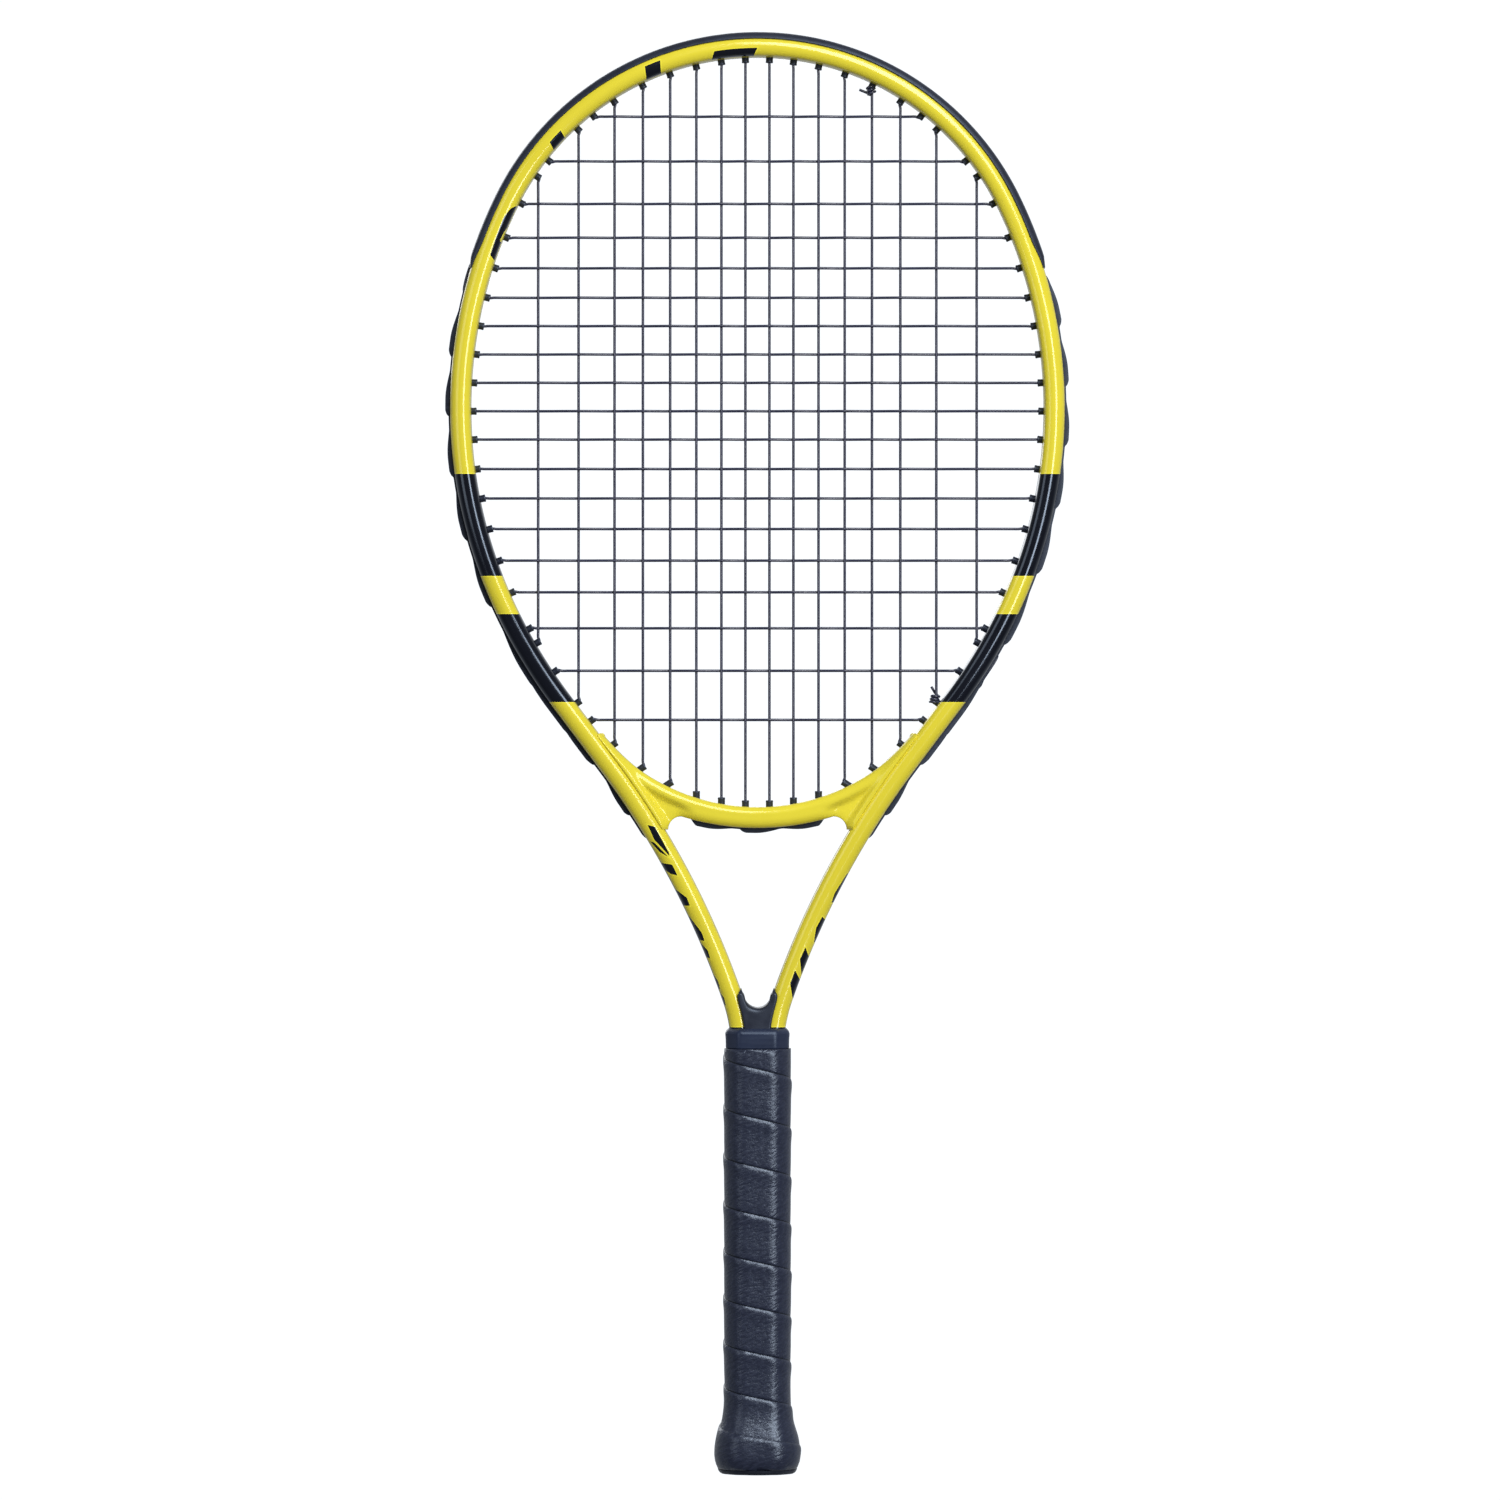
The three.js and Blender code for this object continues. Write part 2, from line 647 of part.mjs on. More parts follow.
// ---- Handle ----
function octagon([halfWidth, halfDepth, halfFacet]) {
  const halfSide = halfDepth - halfWidth + halfFacet;
  return mirrored([
    [halfWidth, halfSide],
    [halfFacet, halfDepth],
    [-halfFacet, halfDepth],
    [-halfWidth, halfSide],
  ]);
}

const inset = ([width, depth, facet], by) => [
  width - by,
  depth - by,
  facet - by * Math.tan(Math.PI / 8),
];
const palletOctagon = inset(GRIP, GRIP_THICKNESS + GAP);

function flareAt(z) {
  const above = FLARE.findIndex(([level]) => level >= z);
  if (above < 0) return 1;
  if (above === 0) return FLARE[0][1];
  const [[z0, scale0], [z1, scale1]] = [FLARE[above - 1], FLARE[above]];
  return scale0 + ((scale1 - scale0) * (z - z0)) / (z1 - z0);
}

// A screw along Y with its head at y = from and its point towards the middle.
function screw(from, to, z) {
  const [headRadius, headThickness] = SCREW_HEAD;
  const length = Math.abs(to - from);
  const profile = [
    [0, 0],
    [headRadius, 0],
    [headRadius, headThickness],
    [SCREW_RADIUS, headThickness + 0.4],
    [SCREW_RADIUS, length - 1.5],
    [0, length],
  ].map(([r, y]) => new THREE.Vector2(r, y));
  const geometry = new THREE.LatheGeometry(profile, 8);
  if (to < from) geometry.rotateX(Math.PI);
  return solidOf(geometry.translate(0, from, z));
}

function screwHole(from, to, z) {
  const way = Math.sign(to - from);
  const point = (y) => new THREE.Vector3(0, y, z);
  const headFloor = from + way * (SCREW_HEAD[1] + 0.7);
  return join([
    rod(point(from - way * 8), point(headFloor), SCREW_HEAD[0] + 0.6),
    rod(point(from), point(to + way * 0.4), SCREW_RADIUS + 0.5),
  ]);
}

const capScrewY = [palletOctagon[1] * flareAt(CAP_SCREW_Z) - 0.5, 7];
const halfScrewY = [palletOctagon[1] - 0.4, -6];
const capScrews = [-1, 1].map((way) => [way * capScrewY[0], way * capScrewY[1], CAP_SCREW_Z]);
const halfScrews = HALF_SCREW_Z.map((z) => [...halfScrewY, z]);

function pallet(way) {
  const bottomZ = CAP_FLOOR_Z + GAP;
  const levels = [
    [bottomZ, 1],
    [HANDLE_TOP_Z, 1],
  ];
  const whole = loft(octagon(palletOctagon), levels);
  const beyond = 20;
  const other = [
    [-beyond, 0],
    [beyond, 0],
    [beyond, HANDLE_TOP_Z + 1],
    [-beyond, HANDLE_TOP_Z + 1],
  ];
  const edge = (way * GAP) / 2;
  const otherSide = plate(other, ...[edge, -way * beyond].sort((a, b) => a - b));
  const cutLevels = [
    [0, 1],
    [HANDLE_TOP_Z + 1, 1],
  ];
  const shaftRoom = mirrored(tubeSection(GAP));
  const rooms = [-1, 1].map((side) =>
    loft(shaftRoom, cutLevels).translate([side * SHAFT_X, 0, 0]),
  );
  const holes = [...capScrews, ...halfScrews].map((place) => screwHole(...place));
  return cut(whole, [otherSide, ...rooms, ...holes]);
}

function grip() {
  const levels = [...FLARE, [HANDLE_TOP_Z, 1]];
  return loft(octagon(GRIP), levels, octagon(inset(GRIP, GRIP_THICKNESS)));
}

function collar() {
  const levels = [
    [HANDLE_TOP_Z + GAP, 1],
    [COLLAR_TOP_Z, 1],
  ];
  return loft(octagon(COLLAR), levels, octagon(inset(COLLAR, COLLAR_WALL)));
}

function buttCap() {
  const skirt = [CAP_LIP_Z, ...FLARE.map(([z]) => z).filter((z) => z > CAP_LIP_Z), CAP_SKIRT_Z]
    .filter((z) => z <= CAP_SKIRT_Z)
    .map((z) => [z, flareAt(z)]);
  const levels = [[0, CAP_LIP_SCALES[0]], [CAP_LIP_Z, CAP_LIP_SCALES[1]], ...skirt];
  const body = loft(octagon(palletOctagon), levels);
  const pocketLevels = [
    [CAP_FLOOR_Z, 1],
    [CAP_SKIRT_Z + 1, 1],
  ];
  const pocket = loft(octagon(inset(GRIP, GRIP_THICKNESS)), pocketLevels);
  const doorway = new THREE.BoxGeometry(2 * (DOOR_HALF[0] + GAP), 2 * (DOOR_HALF[1] + GAP), 8);
  const holes = capScrews.map((place) => screwHole(...place));
  return cut(body, [pocket, solidOf(doorway), ...holes]);
}

function capDoor() {
  const corner = 1.5;
  const [halfX, halfY] = DOOR_HALF;
  const outline = mirrored([
    [halfX, halfY - corner],
    [halfX - corner, halfY],
    [-halfX + corner, halfY],
    [-halfX, halfY - corner],
  ]);
  return loft(outline, DOOR_Z.map((z) => [z, 1]));
}

// ---- Throat insert ----
function throatInsert() {
  const tipS = sAtHeight(INSERT_TIP_Z);
  const endS = sAtHeight(INSERT_END_Z);
  const side = stations(tipS, endS, radians(4)).map((s) => onRim(s, -TUBE_HALF_WIDTH - GAP));
  const saddle = [];
  for (let k = 0; k <= 8; k++) {
    const angle = (k / 8 - 0.5) * Math.PI;
    saddle.push([
      INSERT_SADDLE_RADIUS * Math.sin(angle),
      INSERT_SADDLE_Z + INSERT_SADDLE_RADIUS * (1 - Math.cos(angle)),
    ]);
  }
  const right = side.map(({ x, z }) => [x, z]);
  const left = right.map(([x, z]) => [-x, z]).reverse();
  return plate([...saddle, ...right, ...left], -INSERT_HALF_DEPTH, INSERT_HALF_DEPTH);
}

// ---- Assembly ----
const racket = new THREE.Group();
function add(name, solid, finish) {
  const mesh = new THREE.Mesh(geometryOf(solid), finish);
  mesh.name = name;
  racket.add(mesh);
}

add("string", stringSolid(), navyString);
const loopPlaces = (track) =>
  loopsMade.filter(([from]) => from.track === track).map(([from, to]) => [from.s, to.s]);
add("frame_tube", frameTube(), yellowPaint);
add("throat_bridge", throatBridge(), yellowPlastic);
add("head_guard", headGuard(), blackPlastic);
add("side_strip_left", sideStrip(-1, loopPlaces(onRim)), blackPlastic);
add("side_strip_right", sideStrip(1, loopPlaces(onRim)), blackPlastic);
add("throat_strip", throatStrip(loopPlaces(onBar)), blackPlastic);
add("throat_insert", throatInsert(), blackPlastic);
add("collar", collar(), blackRubber);
add("pallet_front", pallet(-1), foamPlastic);
add("pallet_back", pallet(1), foamPlastic);
add("grip", grip(), gripLeather);
add("butt_cap", buttCap(), blackPlastic);
add("butt_cap_door", capDoor(), blackPlastic);
["cap_screw_front", "cap_screw_back"].forEach((name, i) => add(name, screw(...capScrews[i]), steel));
["half_screw_lower", "half_screw_upper"].forEach((name, i) =>
  add(name, screw(...halfScrews[i]), steel),
);

export default racket;
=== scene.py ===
"""The looks of a 26-inch junior tennis racket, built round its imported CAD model.

Lengths are in millimetres until piece() turns them into metres. Places on the frame are given as
s, the distance along the tube's centre line from the top of the head, positive to the right; u, the
distance out from that line in the plane of the strings; and v, the distance along Y. Seen from the
front, v is negative.
"""

import math

import bmesh
import bpy
import numpy as np
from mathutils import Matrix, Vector, noise


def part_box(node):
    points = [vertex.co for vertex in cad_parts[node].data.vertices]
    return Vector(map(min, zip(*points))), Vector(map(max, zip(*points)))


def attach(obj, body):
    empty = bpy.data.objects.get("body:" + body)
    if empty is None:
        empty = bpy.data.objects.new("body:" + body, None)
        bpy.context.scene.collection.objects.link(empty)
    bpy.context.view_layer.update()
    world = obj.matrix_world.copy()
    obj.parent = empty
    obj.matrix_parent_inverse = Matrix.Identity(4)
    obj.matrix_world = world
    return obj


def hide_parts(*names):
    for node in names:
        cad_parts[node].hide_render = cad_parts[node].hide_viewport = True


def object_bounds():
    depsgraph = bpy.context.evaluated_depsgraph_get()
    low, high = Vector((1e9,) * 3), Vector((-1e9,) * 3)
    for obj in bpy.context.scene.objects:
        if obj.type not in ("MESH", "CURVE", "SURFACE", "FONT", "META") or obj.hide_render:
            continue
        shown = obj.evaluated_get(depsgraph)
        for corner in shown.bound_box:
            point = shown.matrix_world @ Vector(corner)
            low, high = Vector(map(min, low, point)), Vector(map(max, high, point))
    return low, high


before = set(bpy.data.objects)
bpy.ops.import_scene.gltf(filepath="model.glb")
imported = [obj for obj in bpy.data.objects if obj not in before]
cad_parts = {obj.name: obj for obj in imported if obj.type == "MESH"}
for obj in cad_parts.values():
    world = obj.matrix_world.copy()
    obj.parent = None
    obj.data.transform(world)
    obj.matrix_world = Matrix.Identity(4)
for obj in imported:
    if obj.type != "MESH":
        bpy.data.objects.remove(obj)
cad_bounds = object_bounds()
MM = 0.001

# ---- Camera ----
CAMERA_DISTANCE = 3.82
CAMERA_ASIDE = (-0.0034, 0.0012)  # left of the racket's middle, and above it


def make_camera():
    middle = (cad_bounds[0] + cad_bounds[1]) / 2
    data = bpy.data.cameras.new("camera")
    data.lens = 200
    data.sensor_width = 36
    camera = bpy.data.objects.new("camera", data)
    camera.location = (CAMERA_ASIDE[0], -CAMERA_DISTANCE, middle.z + CAMERA_ASIDE[1])
    camera.rotation_euler = (math.radians(90), 0, 0)
    bpy.context.scene.collection.objects.link(camera)
    bpy.context.scene.camera = camera


make_camera()


# ---- Driving dimensions ----
def cad_box(node):
    """A CAD node's lowest and highest corner, in millimetres."""
    low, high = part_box(node)
    return np.array(low) / MM, np.array(high) / MM


GAP = 0.3
TUBE_HALF_WIDTH = 4.8
GROOVE_DEPTH = 1.6
GROOVE_HALF_WIDTH = 3
HEAD_BENDS = ((127, 64), (215, 50), (240, 13))  # radius, and angle in degrees
THROAT_BEND_RADIUS = 395
SHAFT_BEND = (70, 19)
SHAFT_X = 7.4
tube_low, tube_high = cad_box("frame_tube")
RIM_TOP_Z = tube_high[2] - TUBE_HALF_WIDTH
TUBE_END_Z = tube_low[2]

STRING_RADIUS = 0.65
MAIN_GAPS = (5.5, 11, 11.5, 12, 12.5, 13, 16.5, 18.5)
FIRST_CROSS_Z = 621.5
CROSS_GAPS = (20.5, 19.5, 15.5, 14, 13.5, *[13] * 5, 13.5, 13.5, 14, 14.5, 14.5, 16.5, 19.5, 22.5)
TOP_MAIN_TIED_TO = 3
CROSS_SWING = 0.85  # how far a cross string stands off the middle plane where it passes a main string
MAIN_SWING = 0.45

BARREL_RADIUS = 1.65
BARREL_STANDOFF = 2.4
BAR_STANDOFF = 2.9
LIP_REACH = 1.2  # where a string leaves a slanted barrel, it lies this far off the barrel's middle
STRIP_THICKNESS = 1
STRIP_HALF_WIDTH = 2.65
RIDGE_HEIGHT = 1.1
CHANNEL_HALF_WIDTH = 1.75
HUMP_HEIGHT = 1.5
GUARD_PROUD = 1.8
STRIP_BASE_U = TUBE_HALF_WIDTH - GROOVE_DEPTH + GAP
STRIP_TOP_U = STRIP_BASE_U + STRIP_THICKNESS
LOOP_U = STRIP_TOP_U + STRING_RADIUS + GAP
MOUTH_U = -TUBE_HALF_WIDTH - BARREL_STANDOFF
SEAM_U = -TUBE_HALF_WIDTH - GAP

BRIDGE_TIP_Z = cad_box("throat_bridge")[1][2]
BRIDGE_TOP_Z = 305.1
BRIDGE_TOP_RADIUS = 94
BRIDGE_BOTTOM_Z = 295.5
BRIDGE_BOTTOM_RADIUS = 118
BRIDGE_LEG_X = 41
BRIDGE_FILLET = 6
BAR_HOLE_X = 30
ARC_CENTRE_Z = BRIDGE_TOP_Z + BRIDGE_TOP_RADIUS
BAR_CENTRE_Z = BRIDGE_BOTTOM_Z + BRIDGE_BOTTOM_RADIUS

GRIP = (15.25, 13.75, 8.7)  # half width, half depth and half the front facet's width
GRIP_THICKNESS = 1.05
COLLAR = (14.45, 13, 8.7)
# The handle's flare at the butt: height, and scale of the handle's section there.
FLARE = (
    (0, 1.08), (2.2, 1.175), (4, 1.24), (6, 1.275), (9.6, 1.29),
    (15.1, 1.25), (24.3, 1.07), (33.4, 1), (60, 1),
)


# ---- Lines and outlines ----
def unit(vector):
    return vector / np.linalg.norm(vector)


def smooth(value, low, high):
    """0 up to low, 1 from high, and a soft step between."""
    t = np.clip((value - low) / (high - low), 0, 1)
    return t * t * (3 - 2 * t)


def solve(function, low, high):
    """The input at which an always rising or always falling function crosses zero."""
    rising = function(high) > function(low)
    for _ in range(50):
        middle = (low + high) / 2
        if (function(middle) > 0) == rising:
            high = middle
        else:
            low = middle
    return (low + high) / 2


def rounded(corners, radii, steps=5):
    """A closed outline with each corner rounded off over its radius, or over half a short side."""
    corners = np.array(corners, float)
    outline = []
    for i, (corner, radius) in enumerate(zip(corners, radii)):
        ends = []
        for other in (corners[i - 1], corners[(i + 1) % len(corners)]):
            away = other - corner
            reach = min(radius, np.linalg.norm(away) / 2)
            ends.append(corner + unit(away) * reach)
        for k in range(steps + 1):
            t = k / steps
            outline.append((1 - t) ** 2 * ends[0] + 2 * t * (1 - t) * corner + t**2 * ends[1])
    return np.array(outline)


def rounded_halves(half, radii):
    """A rounded outline made of its back half, as (u, v), and the mirror image of that in front."""
    corners = [*half, *[(u, -v) for u, v in reversed(half)]]
    return rounded(corners, (*radii, *reversed(radii)), 4)


def both_sides(right):
    """A line of (x, z) points from the middle to the right, joined to its mirror image on the left."""
    return [*[point * (-1, 1) for point in right[:0:-1]], *right]


def curve_through(points, spacing):
    """Points about spacing apart on a centripetal Catmull-Rom curve through the given ones."""
    points = [np.array(p, float) for p in points]
    padded = [2 * points[0] - points[1], *points, 2 * points[-1] - points[-2]]
    result = []
    for p0, p1, p2, p3 in zip(padded, padded[1:], padded[2:], padded[3:]):
        t1 = math.sqrt(np.linalg.norm(p1 - p0))
        t2 = t1 + math.sqrt(np.linalg.norm(p2 - p1))
        t3 = t2 + math.sqrt(np.linalg.norm(p3 - p2))
        count = max(2, math.ceil(np.linalg.norm(p2 - p1) / spacing))
        for t in np.linspace(t1, t2, count, endpoint=False):
            a1 = ((t1 - t) * p0 + t * p1) / t1
            a2 = ((t2 - t) * p1 + (t - t1) * p2) / (t2 - t1)
            a3 = ((t3 - t) * p2 + (t - t2) * p3) / (t3 - t2)
            b1 = ((t2 - t) * a1 + t * a2) / t2
            b2 = ((t3 - t) * a2 + (t - t1) * a3) / (t3 - t1)
            result.append(((t2 - t) * b1 + (t - t1) * b2) / (t2 - t1))
    result.append(points[-1])
    return np.array(result)


def distance_to(line, x, z):
    """How far each point (x, z) is from a line of (x, z) points."""
    best = np.full(np.shape(x), np.inf)
    for (ax, az), (bx, bz) in zip(line, line[1:]):
        dx, dz = bx - ax, bz - az
        t = np.clip(((x - ax) * dx + (z - az) * dz) / (dx * dx + dz * dz), 0, 1)
        best = np.minimum(best, np.hypot(x - ax - t * dx, z - az - t * dz))
    return best


def reach_along(line):
    """How far along a line each of its points lies."""
    return np.concatenate([[0], np.cumsum(np.linalg.norm(np.diff(line, axis=0), axis=1))])


def along_line(line, count):
    """Count points evenly spaced along a line of (x, z) points."""
    line = np.array(line, float)
    reach = reach_along(line)
    places = np.linspace(0, reach[-1], count)
    return np.stack([np.interp(places, reach, line[:, k]) for k in range(2)], axis=1)


# ---- The rim: the tube's centre line ----
def point_on_run(run, distance):
    _, turn, x, z, heading = run
    now = heading - turn * distance
    if turn == 0:
        return x + distance * math.cos(now), z + distance * math.sin(now), now
    x += (math.sin(heading) - math.sin(now)) / turn
    z -= (math.cos(heading) - math.cos(now)) / turn
    return x, z, now


def lay_runs(straight):
    """The tube's bends and straights as (s, turn per mm, x, z, heading), and half its whole length."""
    back = sum(angle for _, angle in HEAD_BENDS) - 90 - SHAFT_BEND[1]
    bends = [(radius, angle, 1) for radius, angle in HEAD_BENDS]
    bends += [(THROAT_BEND_RADIUS, back, -1), (*SHAFT_BEND, -1)]
    runs = [(radius * math.radians(angle), way / radius) for radius, angle, way in bends]
    runs.insert(len(HEAD_BENDS), (straight, 0))
    laid = []
    s, x, z, heading = 0, 0, RIM_TOP_Z, 0
    for length, turn in runs:
        laid.append((s, turn, x, z, heading))
        x, z, heading = point_on_run(laid[-1], length)
        s += length
    laid.append((s, 0, x, z, heading))
    return laid, s + z - TUBE_END_Z


straight_heading = math.radians(-sum(angle for _, angle in HEAD_BENDS))
STRAIGHT = (SHAFT_X - lay_runs(0)[0][-1][2]) / math.cos(straight_heading)
RUNS, RIM_HALF_LENGTH = lay_runs(STRAIGHT)


def rim(s):
    """The centre line's point and the way out from it, at s."""
    side = -1 if s < 0 else 1
    run = [r for r in RUNS if r[0] <= abs(s)][-1]
    x, z, heading = point_on_run(run, abs(s) - run[0])
    out = np.array([-side * math.sin(heading), 0, math.cos(heading)])
    return np.array([side * x, 0, z]), out


def on_rim(s, u, v=0):
    point, out = rim(s)
    return point + out * u + np.array([0, v, 0])


def on_bar(s, u, v=0):
    """The same three numbers, along the underside of the bridge's bar."""
    radius = BRIDGE_BOTTOM_RADIUS + u - TUBE_HALF_WIDTH
    angle = s / BRIDGE_BOTTOM_RADIUS
    return np.array([radius * math.sin(angle), v, BAR_CENTRE_Z - radius * math.cos(angle)])


def s_at_height(z, u=0):
    return solve(lambda s: on_rim(s, u)[2] - z, 1, RIM_HALF_LENGTH)


WIDEST_S = solve(lambda s: rim(s)[1][2], 1, RUNS[3][0])
GUARD_END_S = s_at_height(cad_box("side_strip_left")[1][2]) - 3
STRIP_END_S = s_at_height(cad_box("side_strip_left")[0][2])
BRIDGE_TIP_S = s_at_height(BRIDGE_TIP_Z, SEAM_U)


# ---- String holes ----
def mouth_u(s):
    """Where the barrel at s ends inside the head. It is longer where the bridge lines the tube."""
    if s < BRIDGE_TIP_S:
        return MOUTH_U
    point, out = rim(s)
    radius = BRIDGE_TOP_RADIUS - BAR_STANDOFF
    across = point[0] * out[0] + (point[2] - ARC_CENTRE_Z) * out[2]
    far = point[0] ** 2 + (point[2] - ARC_CENTRE_Z) ** 2 - radius**2
    return min(MOUTH_U, -across + math.sqrt(across**2 - far))


def rim_hole(s):
    return {"track": on_rim, "s": s, "mouth": on_rim(s, mouth_u(abs(s))), "out": rim(s)[1]}


def bar_hole(x):
    s = BRIDGE_BOTTOM_RADIUS * math.asin(x / BRIDGE_BOTTOM_RADIUS)
    z = ARC_CENTRE_Z - math.sqrt((BRIDGE_TOP_RADIUS - BAR_STANDOFF) ** 2 - x * x)
    return {"track": on_bar, "s": s, "mouth": np.array([x, 0, z]), "out": np.array([0, 0, -1])}


def main_holes(x):
    size, side = abs(x), math.copysign(1, x)
    mouth_x = lambda s: on_rim(s, mouth_u(s))[0] + LIP_REACH * abs(rim(s)[1][0])
    top = solve(lambda s: mouth_x(s) - size, 1, WIDEST_S)
    if size < BAR_HOLE_X:
        bottom = bar_hole(x)
    else:
        bottom = rim_hole(side * solve(lambda s: mouth_x(s) - size, WIDEST_S, STRIP_END_S))
    return {"x": x, "top": rim_hole(side * top), "bottom": bottom}


def cross_holes(z):
    s = solve(lambda s: on_rim(s, MOUTH_U)[2] + LIP_REACH * rim(s)[1][2] - z, 1, BRIDGE_TIP_S)
    return {"z": z, "left": rim_hole(-s), "right": rim_hole(s)}


main_xs = np.cumsum(MAIN_GAPS)
mains = [main_holes(x) for x in (*-main_xs[::-1], *main_xs)]
crosses = [cross_holes(FIRST_CROSS_Z - fall) for fall in np.cumsum((0, *CROSS_GAPS))]
all_holes = [main[end] for main in mains for end in ("top", "bottom")]
all_holes += [cross[end] for cross in crosses for end in ("left", "right")]


def exit_of(hole, u):
    """The point in a hole at this u, on the outside of the frame."""
    if hole["track"] is on_rim:
        return on_rim(hole["s"], u)
    return on_bar(hole["s"], STRIP_TOP_U) + hole["out"] * (u - STRIP_TOP_U)


# ---- Meshes ----
def shell(rings, cyclic=False, lay=None):
    """A skin over rings of equally many points: (points, faces, surface coordinates)."""
    rings = np.array(rings, float)
    n, m = rings.shape[:2]
    i, k = np.meshgrid(np.arange(n if cyclic else n - 1), np.arange(m), indexing="ij")
    j, l = (i + 1) % n, (k + 1) % m
    faces = np.stack([i * m + k, i * m + l, j * m + l, j * m + k], axis=-1).reshape(-1, 4).tolist()
    if not cyclic:
        faces += [list(range(m))[::-1], [(n - 1) * m + k for k in range(m)]]
    lay = np.zeros_like(rings) if lay is None else np.array(lay, float)
    return rings.reshape(-1, 3), faces, lay.reshape(-1, 3)


def sweep(track, stations):
    """A shell along a track. Each station is s, and the (u, v) outline there."""
    rings = [[track(s, u, v) for u, v in section] for s, section in stations]
    lay = [[(s, u, v) for u, v in section] for s, section in stations]
    return shell(rings, lay=lay)


def tube(points, radius, sides=10):
    """A shell round a line of points. radius is one number, or one for each point."""
    points = np.array(points, float)
    ways = np.gradient(points, axis=0)
    ways /= np.linalg.norm(ways, axis=1)[:, None]
    radii = np.broadcast_to(radius, len(points))
    side = unit(np.cross(ways[0], [0.31, 0.92, 0.17]))
    angles = np.linspace(0, 2 * math.pi, sides, endpoint=False)
    rings, lay = [], []
    for point, way, size, far in zip(points, ways, radii, reach_along(points)):
        side = unit(side - way * np.dot(side, way))
        other = np.cross(way, side)
        rings.append([point + size * (math.cos(a) * side + math.sin(a) * other) for a in angles])
        lay.append([(far, a, 0) for a in angles])
    return shell(rings, lay=lay)


def lathe(start, way, profile, sides):
    """A shell turned round a line: profile gives (distance along, radius) pairs."""
    way = unit(way)
    side = unit(np.cross(way, [0.2, 1, 0.1]))
    other = np.cross(way, side)
    angles = np.linspace(0, 2 * math.pi, sides, endpoint=False)
    rings = [
        [start + way * far + r * (math.cos(a) * side + math.sin(a) * other) for a in angles]
        for far, r in profile
    ]
    return shell(rings)


def piece(name, shells, material, stands_for, body="racket", sharp=40):
    """One object made of shells. It rides on a body and stands for CAD nodes."""
    mesh = bpy.data.meshes.new(name)
    points, faces, start = [], [], 0
    for own_points, own_faces, _ in shells:
        points.append(own_points)
        faces += [[start + index for index in face] for face in own_faces]
        start += len(own_points)
    mesh.from_pydata((np.concatenate(points) * MM).tolist(), [], faces)
    lay = mesh.attributes.new("lay", "FLOAT_VECTOR", "POINT")
    lay.data.foreach_set("vector", np.concatenate([own for _, _, own in shells]).ravel())
    mesh.materials.append(material)
    tidy(mesh, sharp)
    made = bpy.data.objects.new(name, mesh)
    bpy.context.scene.collection.objects.link(made)
    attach(made, body)
    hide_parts(*stands_for)
    return made


def tidy(mesh, sharp):
    """Merges doubled points, turns faces outwards and shades smooth, apart from sharp edges."""
    work = bmesh.new()
    work.from_mesh(mesh)
    bmesh.ops.remove_doubles(work, verts=work.verts, dist=2e-6)
    bmesh.ops.recalc_face_normals(work, faces=work.faces)
    work.to_mesh(mesh)
    work.free()
    mesh.polygons.foreach_set("use_smooth", [True] * len(mesh.polygons))
    mesh.set_sharp_from_angle(angle=math.radians(sharp))


